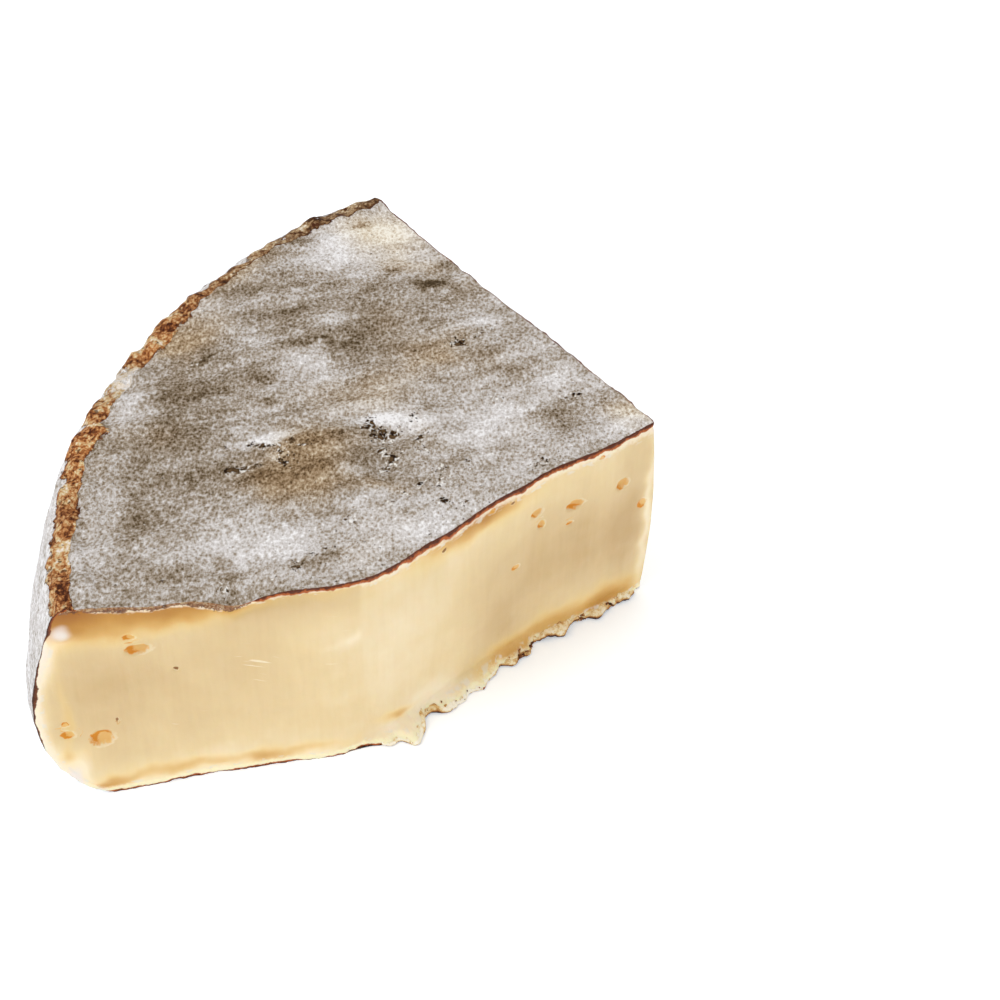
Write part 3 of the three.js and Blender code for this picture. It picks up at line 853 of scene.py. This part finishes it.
def paste_fields(skin):
    """Golden stains, pale spots that are partly painted light, and darker spots of painted shade over
    the cut faces, with a darker uneven tone over the back cut.
    """
    wander = np.column_stack([noise(skin.places, 6, 41, 2), noise(skin.places, 5, 42, 2)])
    cut = skin.cut_place + wander
    both = np.maximum(1, skin.on_front.astype(int) + skin.on_long)
    gold, pale_and_painted_light, painted_shade_and_tone = (
        (blotches(cut, front) * skin.on_front + blotches(cut, long) * skin.on_long) / both
        for front, long in ((FRONT_GOLD, LONG_GOLD), (FRONT_PALE, LONG_PALE_AND_PAINTED_LIGHT), (FRONT_PAINTED_SHADE, LONG_PAINTED_SHADE))
    )
    gold += skin.on_back * (0.5 * np.exp(-skin.level_height / 4) + 0.35 * np.exp(-skin.from_rim / 4))
    below_rim = 1 - smoothstep(skin.level_height, *RIM_BLOOM_ENDS)
    pale_and_painted_light += skin.on_front * 0.8 * bump(skin.from_rim + 0.7 * wander[:, 0], 0, 2.2) * below_rim
    painted_shade_and_tone += skin.on_back * (0.3 + 0.2 * noise(skin.places, 24, 43))
    return gold, pale_and_painted_light, painted_shade_and_tone


def scratched_field(skin):
    """Where the knife has left fine pale scratches, from 0 to 1 and a little below 0 elsewhere."""
    return blotches(skin.cut_place, FRONT_SCRATCHES) * skin.on_front - 0.6 * skin.on_long


def eye_fields(skin):
    """Depth in the eyes, place in the nearest eye with its shaded side at -x, nearness, darkness."""
    count = len(skin.u)
    depth, near, dark = np.zeros((3, count))
    place = np.full((count, 2), FAR)
    best = np.full(count, FAR)
    lump = 1 + 0.25 * noise(skin.places, 1.6, 31)
    faces = (skin.on_front, skin.on_long, skin.on_back)
    for face, spots in zip(faces, (FRONT_EYES, LONG_EYES, BACK_EYES)):
        for away, height, width, tall, deep, shaded in spots:
            off = (skin.cut_place - (away, height)) / (width / 2, tall / 2)
            reach = np.linalg.norm(off, axis=1)
            hollow = EYE_DEPTH * deep * np.sqrt(np.clip(1 - reach * reach * lump, 0, 1))
            depth = np.maximum(depth, hollow * face)
            here = face & (reach < best)
            outside = (reach[here] - 1) * min(width, tall) / 2
            best[here] = reach[here]
            place[here] = -turned(off[here], shaded)
            near[here] = 1 - smoothstep(outside, *EYE_MARGIN)
            dark[here] = width < DARK_EYE
    return depth, place, near, dark


def skin_fields(skin):
    """All that the materials and the relief read, by name, and the depth in the eyes."""
    brown, ochre, specks = rind_fields(skin)
    gold, pale_and_painted_light, painted_shade_and_tone = paste_fields(skin)
    eyes, eye_place, eye_near, eye_dark = eye_fields(skin)
    fields = {
        "brown": brown,
        "ochre": ochre,
        "specks": specks,
        "crust": crust_field(skin),
        "line": rind_line(skin),
        "band": pale_band(skin),
        "gold": gold,
        "pale_and_painted_light": pale_and_painted_light,
        "painted_shade_and_tone": painted_shade_and_tone,
        "scratched": scratched_field(skin),
        "eye_x": eye_place[:, 0],
        "eye_y": eye_place[:, 1],
        "eye_near": eye_near,
        "eye_dark": eye_dark,
        "fringe": fringe_field(skin),
        "rust": np.interp(skin.angle, *zip(*RUST_BY_ANGLE)),
        "worn": bumps(skin.angle, WORN_CRUST),
        "brink": brink_field(skin),
        "along": skin.along,
        "up": skin.level_height,
    }
    return fields, eyes


def relief(skin, fields, eyes):
    """Height of the fine relief over each vertex."""
    points = skin.places
    mould = 0.14 * noise(points, 2.6, 61, 3) + 0.12 * noise(along_straw(points, 5), 2.2, 62, 2)
    mould -= 0.12 * np.clip(fields["brown"] - 0.4, 0, 1)
    mould += skin.on_side * 0.16 * noise(points * (1, 1, 3.5), 6, 63, 3)
    crags = 0.35 * (ridged(points, 2.6, 64, 3) - 0.45) + 0.4 * noise(points, 1.3, 65, 2)
    crags = crags * (0.3 + 0.7 * fields["rust"])
    broken = 0.55 * (ridged(points, 1.5, 66, 2) - 0.6)
    rind = mould + fields["crust"] * crags + np.clip(fields["specks"], 0, 1) * broken

    level = skin.level_height
    along = np.column_stack([skin.along, level / 9, np.zeros_like(level)])
    drag = 0.035 * noise(along, 0.9, 67, 2)
    soft = 0.12 * noise(points, 9, 68, 2)
    torn = 0.22 * noise(points, 1.2, 69, 2) * np.exp(-1.1 * fields["band"])
    lip = 0.18 * noise(points, 2.2, 70, 2) * np.exp(-0.7 * fields["line"])
    ragged = 0.5 * noise(points, 1.5, 71, 3) * np.exp(-level / 1.6) * skin.on_long
    cut = drag + soft + torn + lip + ragged - eyes
    on_cut = skin.on_front | skin.on_long | skin.on_back
    return (skin.on_top | skin.on_side) * rind + on_cut * cut


# Meshes

def vertex_normals(places, triangles):
    a, b, c = (places[triangles[:, n]] for n in range(3))
    facing = np.cross(b - a, c - a)
    normals = np.zeros_like(places)
    for n in range(3):
        np.add.at(normals, triangles[:, n], facing)
    return normals / np.linalg.norm(normals, axis=1, keepdims=True)


def softened(places, triangles, amount, rounds):
    """Moves each vertex towards the middle of its neighbours by its own amount."""
    edges = np.concatenate([triangles[:, [0, 1]], triangles[:, [1, 2]], triangles[:, [2, 0]]])
    count = np.bincount(edges[:, 0], minlength=len(places))
    for _ in range(rounds):
        total = np.zeros_like(places)
        for axis in range(3):
            total[:, axis] = np.bincount(edges[:, 0], places[edges[:, 1], axis], len(places))
        places = mix(places, total / column(count), column(amount))
    return places


def dressed_places(skin, height):
    """The skin with its relief, softened at its corners and along the edges of the cuts."""
    triangles = np.concatenate([skin.quads[:, [0, 1, 2]], skin.quads[:, [0, 2, 3]], skin.fan])
    places = skin.places + vertex_normals(skin.places, triangles) * column(height)
    near_edge = np.minimum.reduce([skin.below_top, skin.from_rim, skin.away])
    edge = np.where(skin.on_top, 0, 1 - smoothstep(near_edge, 0, ROUNDED_EDGE))
    end_u = skin.u % 1 == 0
    end_v = skin.v % 1 == 0
    corner = end_u & end_v | skin.on_top & (end_u | end_v)
    places = softened(places, triangles, 0.5 * np.maximum(0.4 * edge, corner), 2)
    places[:, 2] = np.where(skin.w == 0, 0, np.maximum(places[:, 2], 0))
    return places


def sheet_places(skin, corners, regions):
    """Places on the bake's sheet for the faces' corners, of which each lies in a region."""
    length = np.append(0, np.cumsum(FINE_STEPS))
    up = np.interp(skin.w, FINE_LEVELS, length / length[-1])
    shares = {"u": skin.u, "v": skin.v, "up": up}
    uv = np.zeros((len(corners), 2))
    for name, (x, y, width, height, *axes) in SHEET_PLACES.items():
        here = regions == name
        share = np.column_stack([shares[axis][corners[here]] for axis in axes])
        size = np.array([width, height]) - 2 * SHEET_GAP
        uv[here] = np.array([x, y]) + SHEET_GAP + size * share
    return uv / SHEET


def add_object(name, data):
    thing = bpy.data.objects.new(name, data)
    bpy.context.scene.collection.objects.link(thing)
    return thing


def make_mesh(name, places, faces, materials, slots=None, fields=None, uv=None, smooth=True):
    mesh = bpy.data.meshes.new(name)
    mesh.from_pydata(places.tolist(), [], [list(face) for face in faces])
    for material in materials:
        mesh.materials.append(material)
    if slots is not None:
        mesh.polygons.foreach_set("material_index", slots)
    for field, values in (fields or {}).items():
        mesh.attributes.new(field, "FLOAT", "POINT").data.foreach_set("value", values)
    if uv is not None:
        mesh.uv_layers.new(name="OFBake").uv.foreach_set("vector", uv.ravel())
    mesh.polygons.foreach_set("use_smooth", np.full(len(mesh.polygons), smooth))
    mesh.update()
    return add_object(name, mesh)


# Shaders

def colour(red, green, blue):
    """A colour in sRGB from 0 to 255 as the linear values that shaders take."""
    channels = np.array([red, green, blue]) / 255
    linear = np.where(channels <= 0.04045, channels / 12.92, ((channels + 0.055) / 1.055) ** 2.4)
    return (*linear, 1.0)


class Wire:
    """What comes out of a node. Its sums, differences and products are nodes too."""

    def __init__(self, nodes, socket):
        self.nodes = nodes
        self.socket = socket

    def __add__(self, other):
        return self.nodes.math("ADD", self, other)

    def __sub__(self, other):
        return self.nodes.math("SUBTRACT", self, other)

    def __rsub__(self, other):
        return self.nodes.math("SUBTRACT", other, self)

    def __mul__(self, other):
        return self.nodes.math("MULTIPLY", self, other)

    __radd__ = __add__
    __rmul__ = __mul__


class Nodes:
    """A material's nodes, made one call at a time. Places are in mm."""

    def __init__(self, name, roughness, specular):
        self.material = bpy.data.materials.new(name)
        self.material.use_nodes = True
        self.tree = self.material.node_tree
        self.shader = self.tree.nodes["Principled BSDF"]
        self.set("Roughness", roughness)
        self.set("Specular IOR Level", specular)
        self.places = self.vector("SCALE", self.node("TexCoord", {}, "Object"), scale=1 / MM)

    def put(self, socket, value):
        if isinstance(value, Wire):
            self.tree.links.new(value.socket, socket)
        else:
            socket.default_value = value

    def set(self, name, value):
        self.put(self.shader.inputs[name], value)

    def node(self, kind, inputs, output=0, **settings):
        node = self.tree.nodes.new("ShaderNode" + kind)
        for name, value in settings.items():
            setattr(node, name, value)
        for name, value in inputs.items():
            self.put(node.inputs[name], value)
        return Wire(self, node.outputs[output])

    def math(self, operation, a, b=0.0):
        return self.node("Math", {0: a, 1: b}, operation=operation)

    def vector(self, operation, a, b=(0, 0, 0), scale=1.0):
        return self.node("VectorMath", {0: a, 1: b, 3: scale}, operation=operation)

    def field(self, name):
        return self.node("Attribute", {}, "Fac", attribute_name=name)

    def fields(self, *names):
        return [self.field(name) for name in names]

    def stretched(self, degrees, stretch):
        """Places squeezed along one direction in plan, for noise that is longer that way."""
        turn = (0, 0, math.radians(degrees))
        inputs = {"Vector": self.places, "Rotation": turn, "Scale": (stretch, 1, 1)}
        return self.node("Mapping", inputs, vector_type="TEXTURE")

    def noise(self, size, detail=2.0, roughness=0.5, places=None):
        """Noise round 0, mostly within -0.5 to 0.5, whose features have the given size."""
        inputs = {"Vector": places or self.places, "Scale": 1 / size}
        inputs.update({"Detail": detail, "Roughness": roughness})
        return self.node("TexNoise", inputs, "Fac") - 0.5

    def bent(self, size, reach):
        """Places moved about by noise of the given size."""
        swirl = self.node("TexNoise", {"Vector": self.places, "Scale": 1 / size}, "Color")
        swirl = self.vector("SUBTRACT", swirl, (0.5, 0.5, 0.5))
        return self.vector("ADD", self.places, self.vector("SCALE", swirl, scale=reach))

    def cells(self, size, places=None):
        """Distance from the middles of scattered cells, as a share of the cell's size."""
        return self.node("TexVoronoi", {"Vector": places or self.places, "Scale": 1 / size}, "Distance")

    def step(self, value, low, high):
        inputs = {"Value": value, "From Min": low, "From Max": high}
        return self.node("MapRange", inputs, interpolation_type="SMOOTHSTEP")

    def mix(self, a, b, share):
        """A colour between two that are wires or sRGB."""
        a, b = (tint if isinstance(tint, Wire) else colour(*tint) for tint in (a, b))
        return self.node("Mix", {0: share, 6: a, 7: b}, 2, data_type="RGBA")

    def ramp(self, value, stops):
        """Colour by a value, between stops that are a value and a colour."""
        node = self.tree.nodes.new("ShaderNodeValToRGB")
        self.put(node.inputs["Fac"], value)
        elements = node.color_ramp.elements
        elements.remove(elements[1])
        elements[0].position = stops[0][0]
        elements[0].color = colour(*stops[0][1:])
        for position, *tint in stops[1:]:
            elements.new(position).color = colour(*tint)
        return Wire(self, node.outputs["Color"])

    def join(self, x, y):
        return self.node("CombineXYZ", {0: x, 1: y})

    def length(self, x, y):
        return self.math("SQRT", x * x + y * y)

    def bump(self, height, strength, reach):
        """Relief of the shading: a height from nodes, with 1 standing for the reach in mm."""
        inputs = {"Height": height, "Strength": strength, "Distance": reach * MM}
        self.set("Normal", self.node("Bump", inputs))


def mould_colour(n, bent, grain, pepper):
    """Grey-white to tan mould with pale flakes, dark scabs and dots, and where the scabs are."""
    specks = n.field("specks")
    aside = n.vector("ADD", bent, (3.1, 7.7, 0.0))
    patches = n.noise(3.0, 3, 0.6, n.stretched(STRAW_DIRECTION - 90, 2.0))
    tone = 0.8 * n.field("brown") + 1.45 * grain + 0.45 * pepper + 0.6 * patches + 0.1
    ochre = n.step(n.field("ochre"), 0.1, 0.9)
    mould = n.mix(n.ramp(tone, GREY_MOULD), n.ramp(tone, TAN_MOULD), ochre)
    room = 0.62 * specks + 0.45 * n.noise(2.2, 2, 0.6)
    flake = n.step(n.cells(1.1, aside) - 0.95 * room, 0.04, -0.04)
    mould = n.mix(mould, FLAKE, 0.75 * flake)
    spot = n.step(n.cells(1.0, bent) - room + 0.5 * n.noise(0.5, 2, 0.7), 0.07, -0.05)
    scab = n.mix(SCAB_DARK, SCAB_LIGHT, n.step(n.noise(0.8, 2, 0.6), -0.12, 0.08))
    mould = n.mix(mould, scab, spot)
    dot = n.step(n.cells(2.6, aside), 0.1, 0.06) * n.step(n.noise(6, 2, 0.6), -0.1, 0.1)
    return n.mix(mould, DOT, 0.85 * dot), spot


def crust_colour(n, bent, pepper, cover):
    """Orange-brown to drab crust, chipped pale, and the cracks in it."""
    rust, worn = n.fields("rust", "worn")
    chip = 1.5 * n.noise(1.1, 3, 0.85) + 2.0 * n.noise(3.4, 3, 0.7, bent) + 0.5 * pepper
    chip = chip + 0.5 * worn + 0.46
    crust = n.mix(n.ramp(chip, DRAB_CRUST), n.ramp(chip, RUSTY_CRUST), rust)
    edge = n.step(cover, 0.4, 0.5) * n.step(cover, 0.85, 0.6)
    crack = n.step(n.cells(1.5, bent) + 0.7 * n.noise(2.0, 2, 0.6), 0.3, 0.16)
    crack = n.math("MAXIMUM", crack, edge * n.step(n.noise(1.4, 2, 0.6), -0.2, 0.0))
    crack = crack * (0.8 - 0.7 * worn)
    return n.mix(crust, CRACK, crack), crack


def rind_material():
    """Grey-white mould over a brown crust, peppered like fur, with orange-brown crust at the rim."""
    n = Nodes("rind", 0.9, 0.05)
    bent = n.bent(1.2, 2.0)
    across = n.stretched(90, 1.2)
    grain = n.noise(0.65, 3, 0.9, across)
    pepper = 0.45 - n.cells(0.62, across)
    cover = n.field("crust") + 1.9 * n.noise(1.6, 4, 0.85)
    mould, spot = mould_colour(n, bent, grain, pepper)
    crust, crack = crust_colour(n, bent, pepper, cover)
    ragged = n.step(cover, 0.44, 0.54)
    brink = n.step(n.field("brink") + 1.2 * n.noise(1.0, 3, 0.7), 0.75, 0.9)
    n.set("Base Color", n.mix(n.mix(mould, crust, ragged), BRINK, brink))
    n.bump(0.9 * grain - 0.4 * pepper - 0.5 * spot - 0.6 * crack * ragged, 0.8, 0.35)
    n.set("Roughness", 0.9 - 0.3 * ragged)
    return n.material


def paste_colour(n, along, up, clouds, drags):
    """Pale ivory paste with golden stains and fine pale scratches, darker where painted shade lies and
    paler where pale spots and painted light lie.
    """
    tone = 0.5 * clouds + n.field("painted_shade_and_tone") + 0.16 * drags - 0.9 * n.field("pale_and_painted_light") + 0.4
    gold = n.field("gold") + 0.25 * clouds
    body = n.mix(n.ramp(tone, PASTE), n.ramp(gold, GOLDEN_PASTE), n.step(gold, 0.0, 0.8))
    scratches = n.noise(0.8, 2, 0.5, n.join(0.1 * along, up + 0.26 * along))
    scratch = n.step(scratches + 0.14 * n.field("scratched"), 0.22, 0.3)
    return n.mix(body, SCRATCH, 0.6 * scratch)


def pale_layer_on(n, body, along, up, torn):
    """Colours the pale layer under the rind, brighter near the foot as painted light, the bloom at its
    edges and the dashes along it.
    """
    band = n.field("band")
    # Near the foot the cream is brighter: painted light
    cream = n.mix(CREAM, FOOT_CREAM_AND_PAINTED_LIGHT, n.step(up, 6, 3))
    body = n.mix(body, cream, 0.8 * n.step(band + torn, 1.25, 0.6))
    body = n.mix(body, BLOOM, 0.9 * n.step(n.field("pale_and_painted_light"), 0.6, 1.5))
    dashes = n.step(n.noise(1.6, 2, 0.5, n.join(0.7 * along, up)), 0.04, 0.12)
    dashes = dashes * n.step(band, 0.8, 0.95) * n.step(band, 1.5, 1.2)
    return n.mix(body, DASH, 0.55 * dashes)


def eyes_on(n, body):
    """Colours the eyes with painted light: orange painted shade in the hollow, an orange-brown crescent
    of painted shade in its shaded side, brown painted shade all over a pinhole, and a pale painted
    highlight as a lip opposite.
    """
    x, y, near, eye_dark = n.fields("eye_x", "eye_y", "eye_near", "eye_dark")
    wobble = 0.9 * n.noise(0.9, 2, 0.6)
    reach = n.length(x, y) + wobble
    off_middle = n.length(x - 0.5, y) + wobble
    inside = n.step(reach, 1.08, 0.8) * near
    crescent = inside * n.math("MAXIMUM", n.step(off_middle, 0.62, 0.95), eye_dark)
    # The lip is where the pale painted highlight goes, on the lit side of the hollow.
    lip = n.step(reach, 0.75, 1.05) * n.step(reach, 1.45, 1.15) * n.step(x, 0.0, 0.8) * near
    body = n.mix(body, EYE_PAINTED_HIGHLIGHT, 0.35 * lip)
    body = n.mix(body, EYE_HOLLOW_PAINTED_SHADE, 0.6 * inside)
    return n.mix(body, n.mix(EYE_SHADE, PINHOLE_PAINTED_SHADE, eye_dark), crescent)


def fringe_on(n, body):
    """Colours the mould's fringe, which hangs over the top edge."""
    fringe = n.field("fringe")
    hairs = n.step(fringe + 4.5 * n.noise(1.8, 4, 0.85), 1.0, 0.7)
    fur = n.ramp(3.6 * n.noise(0.9, 3, 0.95) + 0.5 * (fringe + 0.5), FUR)
    return n.mix(body, fur, hairs)


def paste_material():
    """Paste and its eyes, with the thin dark rind and the pale layer under it along the edges."""
    n = Nodes("paste", 0.42, 0.4)
    along, up, line = n.fields("along", "up", "line")
    clouds = n.noise(12, 3, 0.55)
    drags = n.noise(1.3, 3, 0.6, n.join(along, 0.09 * up))
    torn = 0.9 * n.noise(1.6, 3, 0.65) + 0.5 * n.noise(0.5, 2, 0.6)
    body = paste_colour(n, along, up, clouds, drags)
    body = pale_layer_on(n, body, along, up, torn)
    body = fringe_on(n, eyes_on(n, body))
    dark = n.step(line + torn, 1.2, 0.9)
    rind = n.mix(RIND_LINE_DARK, RIND_LINE_LIGHT, n.step(line + 2.0 * torn, 0.25, 0.85))
    rind = n.mix(rind, RIM_LINE, 0.75 * n.step(along, -50, -54))
    n.set("Base Color", n.mix(body, rind, dark))

    fine = 0.5 * n.noise(0.6, 3, 0.6) + 0.8 * n.noise(3.0, 2, 0.5) + 0.8 * drags - 0.4 * dark
    n.bump(fine, 0.35, 0.3)
    n.set("Roughness", 0.38 + 0.17 * n.step(n.noise(5, 3, 0.6), -0.2, 0.25) + 0.4 * dark)
    n.set("Subsurface Weight", 0.3)
    n.set("Subsurface Radius", (1.0, 0.55, 0.25))
    n.set("Subsurface Scale", 0.002)
    return n.material


def torn_material():
    """Torn rind: golden to cream above and brown in places, darkened underneath and along its outer
    edge, partly the rind's own brown and partly painted shade under the lifted edge; on the crumbs the
    same darkening is their own brown.
    """
    n = Nodes("torn", 0.6, 0.2)
    mottle = 1.9 * n.noise(1.8, 3, 0.75) + 0.4 * n.noise(0.7, 2, 0.6)
    root = n.step(n.field("out"), 0.5, 0.0)
    tone = 0.25 * root + 0.8 * n.field("under") - 0.35 * n.field("bleached") + 0.8 * mottle + 0.5
    n.set("Base Color", n.ramp(tone, TORN_RIND))
    n.bump(mottle, 0.6, 0.3)
    return n.material


# The piece

def make_cheese():
    skin = Skin()
    fields, eyes = skin_fields(skin)
    places = dressed_places(skin, relief(skin, fields, eyes))

    low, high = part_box("cheese")
    frame_middle = (np.array(low) + np.array(high)) / 2 / MM
    shift = frame_middle - (skin.places.min(axis=0) + skin.places.max(axis=0)) / 2
    shift[2] = 0

    faces = skin.quads.tolist() + skin.fan.tolist()
    corners = np.concatenate([skin.quads.ravel(), skin.fan.ravel()])
    sides = np.repeat(skin.regions, [len(face) for face in faces])
    piece = make_mesh(
        "cheese_body",
        (places + shift) * MM,
        faces,
        [rind_material(), paste_material()],
        np.isin(skin.regions, CUT_SIDES).astype(int),
        fields,
        sheet_places(skin, corners, sides),
    )
    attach(piece, "root")
    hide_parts("cheese")
    return shift


# Torn rind and crumbs along the foot of the long cut

def long_places(away, height):
    """Places on the long cut by distance from the toe and height, and the way out of it there."""
    section = Section(np.interp(height, FINE_HEIGHT, FINE_LEVELS))
    place = section.long(away / section.long_length)
    return np.column_stack([place, section.height]), direction(section.long_degrees - 90)


def strip_faces(rows, columns):
    """Faces of a closed strip: a grid above, the same grid below and the edges between them."""
    count = rows * columns
    ids = np.arange(count).reshape(rows, columns)
    upper = grid_faces(ids)[:, [0, 3, 2, 1]]
    edge = outline(ids)
    return np.concatenate([upper, upper[:, ::-1] + count, ring_faces(edge, edge + count)])


def torn_edge():
    """Places and faces of the torn rind, and for each place how far out it is, how pale it is, and how
    much it belongs to the underside and the outer edge, which are darkened partly as painted shade.
    """
    stations = np.array(TORN_EDGE)
    start, end = stations[[0, -1], 0]
    rows = round((end - start) / TORN_STEP)
    away = np.repeat(np.linspace(start, end, rows), TORN_ACROSS)
    t = np.tile(np.linspace(0, 1, TORN_ACROSS), rows)
    places_along, *shapes = stations.T
    reach, lift, root, paleness = (np.interp(away, places_along, shape) for shape in shapes)
    sheet = np.column_stack([away, t, np.zeros_like(t)])
    reach = reach * (1 + 0.3 * line_noise(away, 3.1, 91, 2))
    reach = reach + 0.25 * line_noise(away, 0.8, 92, 2) * (1.2 - paleness)
    lift = np.maximum(0.1, lift * (1 + 0.7 * noise(sheet, 2.6, 93, 2)) + 0.2 * noise(sheet, 0.9, 94, 2))
    root = root * (1 + 0.6 * line_noise(away, 1.9, 95, 3))
    thick = TORN_THICKNESS * (1 + 0.8 * line_noise(away, 1.7, 96, 2))
    places, out = long_places(away, 0.2 + root * (1 - t))
    places[:, :2] += out * column(-0.3 + (0.4 + np.maximum(0, reach)) * t ** 1.3)
    places[:, 2] += lift * t
    under = places - np.column_stack([0.3 * column(thick) * out, thick])
    under[:, 2] = np.maximum(under[:, 2], FLOOR_GAP)
    places[:, 2] = np.maximum(places[:, 2], under[:, 2] + 0.1)
    # The outer edge of the upper side and the whole underside are darkened through "under": the rind's
    # own brown deepened as painted shade below the lifted edge.
    lip = 0.4 * smoothstep(t, 0.8, 1)
    fields = {
        "out": np.tile(t, 2),
        "under": np.concatenate([lip, 1 + lip]),
        "bleached": np.tile(paleness, 2),
    }
    return np.concatenate([places, under]), strip_faces(rows, TORN_ACROSS), fields


def crumb_shape():
    ball = bmesh.new()
    bmesh.ops.create_icosphere(ball, subdivisions=2, radius=0.5)
    places = np.array([vertex.co for vertex in ball.verts])
    faces = np.array([[vertex.index for vertex in face.verts] for face in ball.faces])
    ball.free()
    return places, faces


def crumbs():
    """Places and faces of all the crumbs, and how dark each one is."""
    rng = np.random.default_rng(81)
    ball, faces = crumb_shape()
    found, joined, dark = [], [], []
    for middle, spread, count, largest, darkness in CRUMBS:
        away = np.clip(rng.normal(middle, spread / 2, count), *CRUMB_ENDS)
        height = 0.25 + 1.5 * rng.random(count) ** 2
        size = largest * rng.uniform(0.35, 1, count)
        places, out = long_places(away, height)
        for number in range(count):
            lump = 1 + 0.9 * noise(ball * 2 + 9 * len(found), 0.9, 82, 2)
            turn, _ = np.linalg.qr(rng.normal(size=(3, 3)))
            grain = (ball * column(lump) * rng.uniform(0.35, 1.25, 3)) @ turn * size[number]
            grain += places[number] + np.append(out[number], 0) * 0.2 * size[number]
            grain[:, 2] += max(0, FLOOR_GAP - grain[:, 2].min())
            joined.append(faces + len(ball) * len(found))
            found.append(grain)
            dark.append(np.full(len(ball), np.clip(rng.normal(darkness, 0.35), 0, 1)))
    return np.concatenate(found), np.concatenate(joined), np.concatenate(dark)


def make_torn_rind(shift):
    material = torn_material()
    places, faces, fields = torn_edge()
    strip = make_mesh("torn_rind", (places + shift) * MM, faces, [material], fields=fields)
    places, faces, dark = crumbs()
    fields = {"out": np.full_like(dark, 0.5), "under": 0.4 * dark, "bleached": 0.8 - dark}
    loose = make_mesh("crumbs", (places + shift) * MM, faces, [material], fields=fields, smooth=False)
    for piece in (strip, loose):
        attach(piece, "root")


# Surroundings

def make_floor():
    n = Nodes("floor", 0.7, 0.2)
    n.set("Base Color", FLOOR_COLOUR)
    n.set("Emission Color", FLOOR_GLOW)
    n.set("Emission Strength", FLOOR_GLOW_STRENGTH)
    places = FLOOR_SIZE * np.array([(-1, -1, 0), (1, -1, 0), (1, 1, 0), (-1, 1, 0)])
    floor = make_mesh("floor", places, [(0, 1, 2, 3)], [n.material])


def make_camera(shift):
    data = bpy.data.cameras.new("camera")
    data.lens = CAMERA_LENS
    data.sensor_width = SENSOR
    camera = add_object("camera", data)
    camera.location = (np.array(CAMERA_PLACE) + shift) * MM
    camera.rotation_euler = (math.radians(CAMERA_TILT), 0, 0)
    bpy.context.scene.camera = camera


def make_light(name, place, size, power):
    data = bpy.data.lights.new(name, "AREA")
    data.shape = "DISK"
    data.size = size
    data.energy = power
    light = add_object(name, data)
    light.location = place
    light.rotation_euler = (-light.location).to_track_quat("-Z", "Y").to_euler()


def make_world():
    world = bpy.data.worlds.new("world")
    world.use_nodes = True
    background = world.node_tree.nodes["Background"]
    background.inputs["Color"].default_value = (1, 1, 1, 1)
    background.inputs["Strength"].default_value = WORLD_STRENGTH
    bpy.context.scene.world = world
    bpy.context.scene.view_settings.view_transform = "Standard"


shift = make_cheese()
make_torn_rind(shift)
make_floor()
make_camera(shift)
for light in LIGHTS:
    make_light(*light)
make_world()
